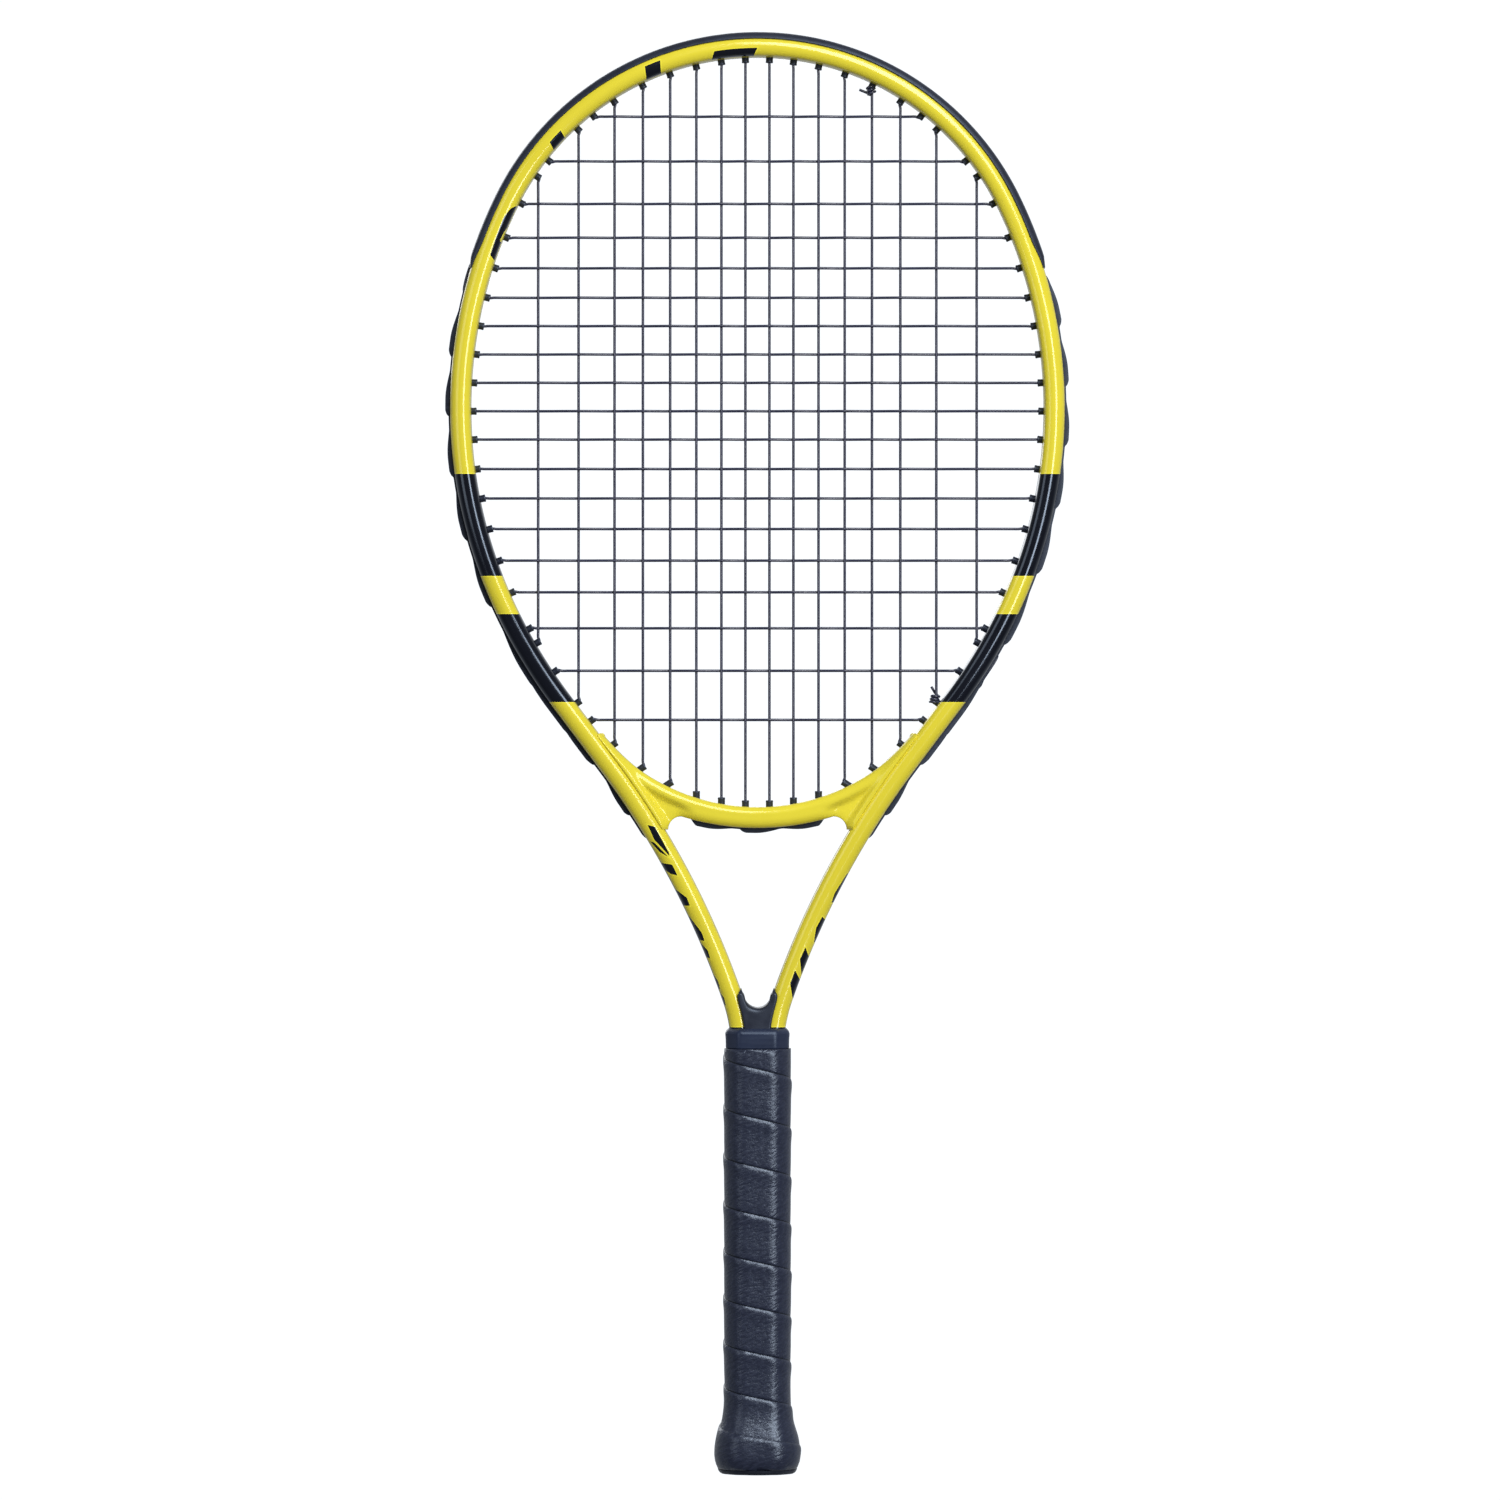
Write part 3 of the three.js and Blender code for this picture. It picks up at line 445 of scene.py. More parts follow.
# ---- Materials ----
class Recipe:
    """A material or world under construction: its node tree, its shader and ways to add nodes."""

    def __init__(self, name, kind="materials", shader="Principled BSDF", **sockets):
        self.made = getattr(bpy.data, kind).new(name)
        self.made.use_nodes = True
        self.tree = self.made.node_tree
        self.shader = self.tree.nodes[shader]
        self.set(**sockets)
        self.coords = self.add("TexCoord").outputs
        self.object = self.coords["Object"]

    def set(self, **sockets):
        for socket, value in sockets.items():
            self.put(self.shader.inputs[socket.replace("_", " ")], value)

    def add(self, kind, settings=None, **inputs):
        node = self.tree.nodes.new("ShaderNode" + kind)
        for key, value in (settings or {}).items():
            setattr(node, key, value)
        for key, value in inputs.items():
            self.put(node.inputs[key.replace("_", " ")], value)
        return node

    def put(self, socket, value):
        if isinstance(value, bpy.types.NodeSocket):
            self.tree.links.new(value, socket)
        else:
            socket.default_value = value

    def math(self, operation, *values):
        node = self.add("Math", {"operation": operation})
        for socket, value in zip(node.inputs, values):
            self.put(socket, value)
        return node.outputs[0]

    def stretched(self, vector, scale, turn=(0, 0, 0)):
        turned = self.add("Mapping", Vector=vector, Rotation=turn).outputs[0]
        return self.add("Mapping", Vector=turned, Scale=scale).outputs[0]

    def noise(self, scale, detail=3, vector=None, roughness=0.5):
        vector = self.object if vector is None else vector
        made = self.add("TexNoise", Vector=vector, Scale=scale, Detail=detail, Roughness=roughness)
        return made.outputs["Fac"]

    def ranged(self, value, low, high, start=0.3, end=0.7):
        node = self.add("MapRange", From_Min=start, From_Max=end, To_Min=low, To_Max=high)
        self.put(node.inputs[0], value)
        return node.outputs[0]

    def mixed(self, factor, first, second):
        node = self.add("Mix", {"data_type": "RGBA"})
        self.put(node.inputs["Factor"], factor)
        for socket, value in zip([s for s in node.inputs if s.type == "RGBA"], (first, second)):
            self.put(socket, value)
        return next(s for s in node.outputs if s.type == "RGBA")

    def bump(self, height, strength, depth, below=None):
        node = self.add("Bump", Height=height, Strength=strength, Distance=depth)
        if below is not None:
            self.put(node.inputs["Normal"], below)
        return node.outputs[0]

    def inside(self, x, y, corners, rounding=0.6):
        """How far (x, y) lies inside a convex outline, given counter-clockwise."""
        depth = None
        for (x0, y0), (x1, y1) in zip(corners, (*corners[1:], corners[0])):
            length = math.hypot(x1 - x0, y1 - y0)
            a, b = (y0 - y1) / length, (x1 - x0) / length
            part = self.math("MULTIPLY_ADD", x, a, self.math("MULTIPLY_ADD", y, b, -a * x0 - b * y0))
            depth = part if depth is None else self.math("SMOOTH_MIN", depth, part, rounding)
        return depth

    def largest(self, values):
        most = values[0]
        for value in values[1:]:
            most = self.math("MAXIMUM", most, value)
        return most

    def lay(self):
        return self.add("Attribute", {"attribute_name": "lay"}).outputs["Vector"]

    def finish(self, **sockets):
        self.set(**sockets)
        return self.made


def shade(colour, factor):
    return (*[min(1, c * factor) for c in colour], 1)


COOL = (0.66, 0.8, 1, 1)  # what dark surfaces reflect looks blue
WARM = (1, 0.97, 0.85, 1)
BLACK_GLOSS = 0.8


def gloss_paint(name, colour, roughness, gloss, black=None):
    """Lacquered paint: a faint orange peel, uneven depth of colour and fine handling marks. black
    gives the masks of black paint and of pale keylines, given the recipe."""
    r = Recipe(name)
    tint, shine = WARM, gloss
    cloud = r.ranged(r.noise(28, 4), 0, 1)
    grain = r.ranged(r.noise(2600, 2), 0, 1)
    base = r.mixed(cloud, shade(colour, 0.95), shade(colour, 1.03))
    base = r.mixed(r.math("MULTIPLY", grain, 0.18), base, shade(colour, 1.16))
    if black:
        mask, keyline = black(r)
        dark = r.mixed(cloud, shade(BLACK, 0.85), shade(BLACK, 1.2))
        base = r.mixed(keyline, base, shade(colour, 1.3))
        base = r.mixed(mask, base, dark)
        tint = r.mixed(mask, tint, COOL)
        shine = r.math("MULTIPLY_ADD", mask, BLACK_GLOSS - gloss, gloss)
    marks = r.noise(900, 3, r.stretched(r.object, (1, 1, 0.12), (0, 0.5, 0.3)))
    marks = r.ranged(marks, 0, 1, 0.62, 0.72)
    uneven = r.ranged(r.noise(170, 4), roughness * 0.8, roughness * 1.25)
    rough = r.math("ADD", uneven, r.math("MULTIPLY", marks, 0.06))
    peel = r.bump(r.noise(110, 2), 0.12, 0.00006)
    outputs = {"Base_Color": base, "Roughness": rough, "Normal": peel}
    return r.finish(Specular_Tint=tint, Specular_IOR_Level=shine, **outputs)


def moulded(name, colour, roughness, stipple=0.25):
    """Moulded plastic: a fine spark-eroded stipple, flow shading and paler rubbed edges."""
    r = Recipe(name, Specular_IOR_Level=0.5, Specular_Tint=COOL)
    edge = r.add("NewGeometry").outputs["Pointiness"]
    worn = r.math("MULTIPLY", r.ranged(edge, 0, 1, 0.52, 0.62), r.ranged(r.noise(420, 4), 0.1, 0.9))
    flow = r.ranged(r.noise(60, 4), 0, 1)
    base = r.mixed(flow, shade(colour, 0.85), shade(colour, 1.12))
    base = r.mixed(worn, base, shade(colour, 2.2))
    rough = r.ranged(r.noise(320, 5), roughness * 0.82, roughness * 1.2)
    grain = r.bump(r.noise(1400, 2), stipple, 0.00004)
    ripple = r.bump(r.noise(160, 3), 0.1, 0.0002, grain)
    return r.finish(Base_Color=base, Roughness=rough, Normal=ripple)


def string_finish():
    """Extruded nylon: a slow change of colour along its length, fine draw lines and a soft gloss."""
    r = Recipe("string_navy", Coat_Weight=0.35, Coat_Roughness=0.12, Specular_IOR_Level=0.5)
    lay = r.lay()
    along = r.noise(0.12, 3, lay)
    lines = r.noise(2.2, 3, r.stretched(lay, (0.35, 3, 1)))
    base = r.mixed(r.ranged(along, 0, 1), (0.012, 0.014, 0.034, 1), (0.03, 0.033, 0.07, 1))
    base = r.mixed(r.ranged(lines, 0, 0.35), base, (0.07, 0.08, 0.14, 1))
    rough = r.ranged(lines, 0.24, 0.42)
    return r.finish(Base_Color=base, Roughness=rough, Normal=r.bump(lines, 0.25, 0.00012))


def wrap_finish():
    """Synthetic leather: slanted pores and creases, painted shade along the seams where the turns overlap,
    polished where held.
    """
    r = Recipe("grip_leather", Specular_IOR_Level=0.85, Specular_Tint=(0.72, 0.84, 1, 1))
    lay = r.lay()
    parts = r.add("SeparateXYZ", Vector=lay).outputs
    flat = r.add("CombineXYZ", X=parts["X"], Y=parts["Y"]).outputs[0]
    slanted = r.stretched(flat, (0.36, 1, 1), (0, 0, math.radians(35)))
    pores = r.noise(1.5, 2, slanted, 0.55)
    creases = r.noise(0.85, 3, slanted, 0.5)
    dimples = r.noise(1.3, 2, flat)
    # Painted shade: near black along each seam, over the strip's upper edge and where its lower edge tucks
    # under the next turn.
    seam_edge_shade = r.ranged(parts["Z"], 1, 0, -0.003, 0.012)
    tuck_shade = r.ranged(parts["Z"], 0, 1, 0.965, 0.985)
    dark = r.math("MAXIMUM", seam_edge_shade, tuck_shade)
    base = r.mixed(r.ranged(creases, 0, 1), (0.017, 0.021, 0.043, 1), (0.029, 0.035, 0.068, 1))
    base = r.mixed(r.ranged(pores, 0.4, 0), base, (0.008, 0.009, 0.016, 1))
    base = r.mixed(dark, base, (0.002, 0.0025, 0.005, 1))
    rough = r.ranged(creases, 0.28, 0.38)
    fine = r.bump(dimples, 0.35, 0.0002)
    grain = r.bump(pores, 0.6, 0.00013, fine)
    folds = r.bump(creases, 1, 0.0003, grain)
    return r.finish(Base_Color=base, Roughness=rough, Normal=folds)


def rubber_finish():
    """Stretched rubber: satin, with faint stretch lines round it and a little bloom."""
    r = Recipe("collar_rubber", Specular_IOR_Level=0.6, Specular_Tint=COOL)
    rings = r.noise(240, 4, r.stretched(r.object, (0.25, 0.25, 3)))
    base = r.mixed(r.ranged(r.noise(90, 4), 0, 1), (0.013, 0.019, 0.045, 1), (0.023, 0.032, 0.068, 1))
    rough = r.ranged(rings, 0.3, 0.46)
    fine = r.bump(r.noise(2400, 3), 0.12, 0.00006)
    return r.finish(Base_Color=base, Roughness=rough, Normal=r.bump(rings, 0.1, 0.0002, fine))


def steel_finish():
    """Turned steel, with tool marks round the screw's own length."""
    r = Recipe("screw_steel", Metallic=1.0, Specular_IOR_Level=0.5)
    rings = r.noise(900, 3, r.stretched(r.object, (0.2, 4, 0.2)))
    base = r.mixed(r.ranged(rings, 0, 1), (0.36, 0.37, 0.39, 1), (0.56, 0.57, 0.59, 1))
    rough = r.ranged(rings, 0.22, 0.42)
    return r.finish(Base_Color=base, Roughness=rough, Normal=r.bump(rings, 0.2, 0.0001))


YELLOW = (0.80, 0.69, 0.045)
BLACK = (0.0055, 0.006, 0.0105)
yellow_plastic = gloss_paint("bridge_yellow", (0.83, 0.72, 0.05), 0.15, 0.5)
trim_black = moulded("trim_black", (0.02, 0.023, 0.037), 0.38)
cap_black = moulded("cap_black", (0.014, 0.016, 0.026), 0.45, 0.35)
core_grey = moulded("core_grey", (0.16, 0.165, 0.18), 0.6, 0.3)
string_navy = string_finish()
grip_leather = wrap_finish()
collar_rubber = rubber_finish()
screw_steel = steel_finish()


# ---- Frame tube ----
BAND_EDGES_Z = ((0.19, 0.2044), (0.3531, 0.3934), (0.4108, 0.4575))  # metres
BAND_BLUR = 0.00002
KEYLINE = 0.0004  # the paler line of yellow along each band
MARKS_END_V = 5.4  # the marks stop here, short of the groove
# Plain black shapes on each side of the tube. Each is convex, with corners (s, u).
LEFT_MARKS = (
    ((0, -1.1), (20, -1.1), (22.5, -6), (2.5, -6)),
    ((45, 1.2), (52.5, 1.2), (54.7, -6), (47.2, -6)),
    ((101, -1), (108.5, -1), (110.5, -6), (102.5, -6)),
    ((60, -4.5), (112, -4.6), (120, -4.1), (136, -3.9), (138, -6), (60, -6)),
    ((453, 1), (455.5, -1.4), (469, -0.9), (470.5, -0.4), (460.5, 1.9)),
    ((460, 3.9), (461.5, 2.6), (470.5, 0.3), (466.5, 2.7)),
    ((470.5, 5.5), (474.5, 0.4), (480, 0.7), (478, 3), (473, 5.5)),
    ((470, 4.4), (557, 4.5), (557, 6), (470, 6)),
)
CURL = ((141.5, -6), (142, -4.2), (144.3, -2.5), (149, -1.4), (167.7, -1.9), (170.5, -6))
CURL_NOTCH = ((150, -4.4), (155, -4.1), (158.4, -3.3), (160.2, -4), (159.5, -6), (150.5, -6))
# Wedges at the outer edge of the left shaft: where each starts and ends, and how far in it reaches.
LEFT_WEDGES = ((483, 495, 1.5), (494, 512.5, 2.1), (510, 521, 2.8), (524, 536, 3.6), (535, 544, 3.6))
RIGHT_MARKS = (
    ((477, 4.2), (488, 3.3), (492.5, 4), (491, 5.5), (477, 5.5)),
    ((500, 2.9), (506, 2.5), (512.5, 4.3), (511, 5.5), (501, 5.5)),
    ((516, 1.6), (522, 1.3), (528.5, 4.6), (519.5, 4.7)),
    ((527.5, 1.1), (534, 1.1), (541, 4.9), (531, 4.9)),
)


def placed(corners, side):
    """A mark's corners on one side of the racket, 1 for the right, in counter-clockwise order."""
    corners = [(side * s, u) for s, u in corners]
    pairs = zip(corners, (*corners[1:], corners[0]))
    area = sum(a[0] * b[1] - b[0] * a[1] for a, b in pairs)
    return corners if area > 0 else corners[::-1]


def black_trim(r):
    """Masks for the tube's black paint and its keylines: three bands right round, and plain shapes
    on the two sides."""
    s, u, v = r.add("SeparateXYZ", Vector=r.lay()).outputs
    z = r.add("SeparateXYZ", Vector=r.object).outputs["Z"]
    s = r.math("MULTIPLY", s, r.math("MULTIPLY", r.math("SIGN", v), -1))
    bands = []
    for low, high in BAND_EDGES_Z:
        middle, half = (low + high) / 2, (high - low) / 2
        bands.append(r.math("SUBTRACT", half, r.math("ABSOLUTE", r.math("SUBTRACT", z, middle))))
    band = r.largest(bands)
    wedges = [((a, 5.5), (b - 4, reach), (b, reach + 0.4), (b - 2, 5.5)) for a, b, reach in LEFT_WEDGES]
    sides = [(-1, shape) for shape in (*LEFT_MARKS, *wedges)] + [(1, shape) for shape in RIGHT_MARKS]
    shapes = [r.inside(s, u, placed(shape, side), 0.25) for side, shape in sides]
    curl = r.inside(s, u, placed(CURL, -1))
    notch = r.inside(s, u, placed(CURL_NOTCH, -1))
    shapes.append(r.math("MINIMUM", curl, r.math("MULTIPLY", notch, -1)))
    off_side = r.math("SUBTRACT", r.math("ABSOLUTE", v), MARKS_END_V)
    shape = r.math("MINIMUM", r.largest(shapes), off_side)
    painted = r.ranged(band, 0, 1, -BAND_BLUR, BAND_BLUR)
    keyline = r.ranged(band, 0, 1, -KEYLINE - BAND_BLUR, -KEYLINE)
    marked = r.ranged(shape, 0, 1, -0.03, 0.03)
    outlined = r.ranged(shape, 0, 0.7, -0.5, -0.4)
    return r.math("MAXIMUM", painted, marked), r.math("MAXIMUM", keyline, outlined)


frame_paint = gloss_paint("frame_paint", YELLOW, 0.14, 0.7, black_trim)

RIM_STEP = 2.5
TUBE_WALL = 1.1
BORE_DEPTH = 30
TUBE_RADII = (0.3, 0.5, 9, 9, 2.2, 9, 9)


def tube_section(inset=0):
    """The tube's outline as (u, v): a groove outside, and a crown front and back."""
    groove = [(TUBE_HALF_WIDTH - GROOVE_DEPTH - inset, GROOVE_HALF_WIDTH + inset)]
    groove += [(TUBE_HALF_WIDTH - inset, GROOVE_HALF_WIDTH + inset)]
    crown = [(TUBE_HALF_WIDTH - inset, 6.3), (3.3, 8.6 - inset), (-0.2, 9.85 - inset)]
    crown += [(-3.5, 8.6 - inset), (inset - TUBE_HALF_WIDTH, 6.3)]
    return rounded_halves([*groove, *crown], TUBE_RADII)


def places_between(start, end, spacing=RIM_STEP):
    return np.linspace(start, end, max(2, math.ceil(abs(end - start) / spacing)) + 1)


def painted_tube():
    outer, inner = tube_section(), tube_section(TUBE_WALL)
    ends = [(d - RIM_HALF_LENGTH, inner) for d in (BORE_DEPTH, 0)]
    run = [(s, outer) for s in places_between(-RIM_HALF_LENGTH, RIM_HALF_LENGTH)]
    other = [(RIM_HALF_LENGTH - d, inner) for d in (0, BORE_DEPTH)]
    body = sweep(on_rim, [*ends, *run, *other])
    piece("painted_tube", [body], frame_paint, ["frame_tube"])


# ---- Moulded pieces between two edges ----
def bulge(distance, radius):
    """0 on an edge, rising to 1 like a quarter circle over the radius."""
    return np.sqrt(1 - (1 - np.clip(distance / radius, 0, 1)) ** 2)


def between(tops, bottoms, front, back, across=26, wall=2):
    """A shell whose outline is two lines of (x, z) points, with a front and a back given as y(x, z)."""
    tops, bottoms = np.array(tops), np.array(bottoms)
    w = 0.5 - 0.5 * np.cos(np.linspace(0, math.pi, across + 1))
    flat = tops[:, None, :] * (1 - w[None, :, None]) + bottoms[:, None, :] * w[None, :, None]
    x, z = flat[..., 0], flat[..., 1]
    faces = {side: np.stack([x, y(x, z), z], axis=-1) for side, y in (("front", front), ("back", back))}
    steps = np.linspace(0, 1, wall + 2)[1:-1, None]
    rings = []
    for near, far in zip(faces["front"], faces["back"]):
        lower = near[-1] + (far[-1] - near[-1]) * steps
        upper = far[0] + (near[0] - far[0]) * steps
        rings.append([*near, *lower, *far[::-1], *upper])
    return shell(rings)


# ---- Throat bridge ----
BRIDGE_DEPTH = 8
BRIDGE_EDGE_DEPTH = 5
BRIDGE_RIDGE = 1.35  # how far it rises along the seam
SEAM_LAP = 1.4  # the bridge's thin edges lap over the tube
WING_LENGTH = 1  # its tips run on this far up the tube
WING_RISE = 1.2
WING_FROM_X, WING_TO_X = 52, 72  # it rises over this stretch
UNDER_POINTS = 30
LEG_FROM_X, LEG_TO_X = 37, 44  # the leg joins the bar's upper edge over this stretch
VALLEY_DEPTH = 2.4  # the dish between the bar's upper edge and the seam


def bridge_outline():
    """The right half of the bridge's lower edge: its underside with the fillet, and its seam."""
    under_x = BRIDGE_LEG_X - BRIDGE_FILLET
    under = [on_bar(x, TUBE_HALF_WIDTH)[[0, 2]] for x in np.linspace(0, under_x * 1.012, UNDER_POINTS)]
    corner = under[-1]
    for angle in np.linspace(0, math.pi / 2, 10)[1:]:
        drop = np.array([math.sin(angle), math.cos(angle) - 1])
        under.append(corner + BRIDGE_FILLET * drop)
    foot_s = s_at_height(BRIDGE_BOTTOM_Z, SEAM_U)
    places = np.linspace(foot_s, BRIDGE_TIP_S - WING_LENGTH, 40)
    seam = [on_rim(s, SEAM_LAP - TUBE_HALF_WIDTH)[[0, 2]] for s in places]
    return np.array(under), np.array(seam)


def bridge():
    under, seam = bridge_outline()
    tip = seam[-1]
    centre_z = lambda x: ARC_CENTRE_Z + WING_RISE * smooth(x, WING_FROM_X, WING_TO_X)
    arc = lambda x: np.array([x, centre_z(x) - math.sqrt(BRIDGE_TOP_RADIUS**2 - x * x)])
    tip_x = solve(lambda x: arc(x)[1] - tip[1], 50, 80)
    top = [arc(x) for x in np.linspace(0, LEG_FROM_X, UNDER_POINTS)]
    top += [arc(x) for x in np.linspace(LEG_FROM_X, LEG_TO_X, len(under) - UNDER_POINTS + 1)[1:]]
    top += [arc(LEG_TO_X + (tip_x - LEG_TO_X) * t) for t in np.linspace(0, 1, len(seam) + 1)[1:]]
    lower = [*under, *seam]
    half = (top[-1] - tip) / 2
    ahead = np.array([-half[1], half[0]])
    for angle in (0.45, 0.85, 1.2, 1.45):  # the rounded end
        end = tip + half - ahead * math.sin(angle)
        top.append(end + half * math.cos(angle))
        lower.append(end - half * math.cos(angle))
    end = [top[-1], lower[-1]]

    def height(x, z):
        x = np.abs(x)
        from_top = np.hypot(x, z - centre_z(x)) - BRIDGE_TOP_RADIUS
        from_under = distance_to(under, x, z)
        from_seam = distance_to(seam, x, z)
        rounding = bulge(from_top, 3.6) * bulge(from_under, 4.2) * bulge(distance_to(end, x, z), 1)
        ridge = BRIDGE_RIDGE * bulge(from_seam, 0.8) * (1 - 0.85 * smooth(from_seam, 1, 4.5))
        dish = smooth(from_top, 4, 7.5) * smooth(from_seam, 1.8, 5) * smooth(x, 28, 38)
        full = BRIDGE_DEPTH + ridge - VALLEY_DEPTH * dish
        return BRIDGE_EDGE_DEPTH + (full - BRIDGE_EDGE_DEPTH) * rounding

    body = between(both_sides(top), both_sides(lower), lambda x, z: -height(x, z), height, 34)
    piece("yellow_bridge", [body], yellow_plastic, ["throat_bridge"], sharp=50)


# ---- Grommets ----
def barrel(hole):
    """The tube of plastic that lines one string hole, with a rolled mouth."""
    start = exit_of(hole, STRIP_TOP_U - 0.2)
    way = hole["mouth"] - start
    length = np.linalg.norm(way)
    r = BARREL_RADIUS
    profile = [(0, r), (length - 0.9, r), (length - 0.75, r * 1.04), (length - 0.2, r * 1.04)]
    profile += [(length - 0.04, r * 0.96), (length, r * 0.8), (length, 0.8), (length - 0.8, 0.75)]
    return lathe(start, way, profile, 18)


def humps_over(loops):
    """Each hump's upper and lower end, as values of s."""
    humps = []
    for a, b in loops:
        upper, lower = sorted((a, b), key=abs)
        way = 1 if lower > upper else -1
        humps.append((upper - way * 5, lower + way * 2.2))
    return humps


def hump_rise(s, upper, lower):
    """A hump climbs slowly from its upper end and stops short at its lower one."""
    t = (s - upper) / (lower - upper)
    if not 0 < t < 1:
        return 0
    return min(1, math.sin(math.pi / 2 * min(1, t / 0.62)) ** 1.2, ((1 - t) / 0.13) ** 0.5)


def strip_section(top):
    """A strip's base and its two side walls, up to this u."""
    low, floor, half, inner = STRIP_BASE_U, STRIP_TOP_U, STRIP_HALF_WIDTH, CHANNEL_HALF_WIDTH
    corners = [(low, -half), (top, -half), (top, -inner), (floor, -inner)]
    corners += [(floor, inner), (top, inner), (top, half), (low, half)]
    return rounded(corners, (0.1, 0.4, 0.4, 0.3, 0.3, 0.4, 0.4, 0.1), 3)


STRIP_STEP = 0.7


def strip(track, start, end, holes, loops):
    """A grommet strip with its walls raised in a hump over each loop of string."""
    ridge = STRIP_TOP_U + RIDGE_HEIGHT
    humps = humps_over(loops)

    def section(s):
        fade = min(1, (abs(s - start) + 0.05) / 3, (abs(s - end) + 0.05) / 3)
        hump = HUMP_HEIGHT * max(hump_rise(s, *ends) for ends in humps)
        return strip_section(STRIP_TOP_U + 0.05 + (ridge - STRIP_TOP_U + hump) * math.sqrt(fade))

    body = sweep(track, [(s, section(s)) for s in places_between(start, end, STRIP_STEP)])
    return [body, *[barrel(hole) for hole in holes]]


def grommets(loops):
    """The two side strips and the throat strip. loops gives each outside loop's two holes."""
    rim_loops = [(a["s"], b["s"]) for a, b in loops if a["track"] is on_rim]
    bar_loops = [(a["s"], b["s"]) for a, b in loops if a["track"] is on_bar]
    start = GUARD_END_S + 3
    for side, word in ((-1, "left"), (1, "right")):
        holes = [h for h in all_holes if h["track"] is on_rim and side * h["s"] > start]
        own = [ends for ends in rim_loops if all(side * s > start for s in ends)]
        made = strip(on_rim, side * start, side * STRIP_END_S, holes, own)
        piece("grommets_" + word, made, trim_black, ["side_strip_" + word])
    half = cad_box("throat_strip")[1][0]
    bar_holes = [h for h in all_holes if h["track"] is on_bar]
    made = strip(on_bar, -half, half, bar_holes, bar_loops)
    piece("grommets_throat", made, trim_black, ["throat_strip"])


GUARD_RADII = (0.1, 0.3, 2, 0.3, 0.4, 2.2, 2, 0.6, 0.4)
GUARD_TAPER = 14


def guard():
    """The head guard, whose laps taper off at its two ends."""

    def section(s):
        left = GUARD_END_S - abs(s)
        end = 1 - float(smooth(left, 0, GUARD_TAPER))
        lap = 3.1 + 1.2 * end
        thin = 0.35 + 0.65 * float(smooth(left, -1, 6))
        crown = TUBE_HALF_WIDTH + GUARD_PROUD * thin
        half = [
            (STRIP_BASE_U, STRIP_HALF_WIDTH),
            (TUBE_HALF_WIDTH + 0.15, STRIP_HALF_WIDTH + 0.1),
            (TUBE_HALF_WIDTH + 0.15, 5.8),
            (lap, 8.75 - 1.6 * end),
            (lap + 0.35, 9.35 - 1.7 * end),
            (crown - 0.7 + 0.35 * end, 8.2 - 1.1 * end),
            (crown, 5.4),
            (crown, CHANNEL_HALF_WIDTH + 0.8),
            (STRIP_TOP_U, CHANNEL_HALF_WIDTH),
        ]
        return rounded_halves(half, GUARD_RADII)

    holes = [h for h in all_holes if h["track"] is on_rim and abs(h["s"]) < GUARD_END_S]
    body = sweep(on_rim, [(s, section(s)) for s in places_between(-GUARD_END_S, GUARD_END_S)])
    made = [body, *[barrel(h) for h in holes]]
    piece("bumper_guard", made, trim_black, ["head_guard"])


# ---- Strings ----
STRING_STEP = 2.2
LOOP_V = 0.75  # how far off the middle two loops lie where they pass
LOOP_START_U = LOOP_U - 0.7
CROSSING_RISE = 0.5
MAIN_CLEAR, CROSS_CLEAR = 7, 6  # strings aren't woven this close to their own barrels


def loop_points(start, end, v):
    """The way round the outside from one hole to another. v keeps two loops that pass apart, and the
    loop rises over any other string that comes out of a hole in between."""
    track = start["track"]
    step = math.copysign(1, end["s"] - start["s"])
    span = abs(end["s"] - start["s"])
    low, high = sorted((start["s"], end["s"]))
    passed = [h["s"] for h in all_holes if h["track"] is track and low < h["s"] < high]
    count = max(1, round(span / 11))
    places = [(start["s"] + step * span * k / count, 0) for k in range(1, count)]
    clear = [place for place in places if all(abs(other - place[0]) > 4 for other in passed)]
    over = [(s + d, rise) for s in passed for d, rise in ((-2.6, 0), (0, CROSSING_RISE), (2.6, 0))]
    path = sorted([*clear, *over], key=lambda place: step * place[0])
    first = [exit_of(start, LOOP_START_U), track(start["s"] + step * 0.9, LOOP_U, 0.4 * v)]
    last = [track(end["s"] - step * 0.9, LOOP_U, 0.4 * v), exit_of(end, LOOP_START_U)]
    return [*first, *[track(s, LOOP_U + rise, v) for s, rise in path], *last]


def leaving(hole, way, place):
    """A string's first points inside the head. way is the string's own direction, and place a point
    on its line."""
    mouth = hole["mouth"]
    foot = np.array(place, float) + way * np.dot(mouth - place, way)
    lip = mouth + (foot - mouth) * 0.45
    return [mouth + hole["out"] * 1.4, lip + way * 0.1, foot + way * 1.5, foot + way * 4]


def inside_head(start, end, way, place, woven):
    """A string's points from one hole to another, by way of the places where it is woven."""
    way = np.array(way, float)
    return [*leaving(start, way, place), *woven, *leaving(end, -way, place)[::-1]]


def crossing(index, row, swing):
    """Where a string passes another. A cross string has a positive swing, a main string a negative
    one, so that they take turns to lie in front."""
    side = 1 if (index + row) % 2 else -1
    return np.array([mains[index]["x"], side * swing, crosses[row]["z"]])


def main_points(index, upwards):
    """A main string from the throat to the top, or back, bending round each cross string."""
    main = mains[index]
    low, high = (main[end]["mouth"][2] for end in ("bottom", "top"))
    woven = [
        crossing(index, row, -MAIN_SWING)
        for row, cross in reversed(list(enumerate(crosses)))
        if low + MAIN_CLEAR < cross["z"] < high - MAIN_CLEAR
    ]
    points = inside_head(main["bottom"], main["top"], (0, 0, 1), (main["x"], 0, 0), woven)
    return points if upwards else points[::-1]


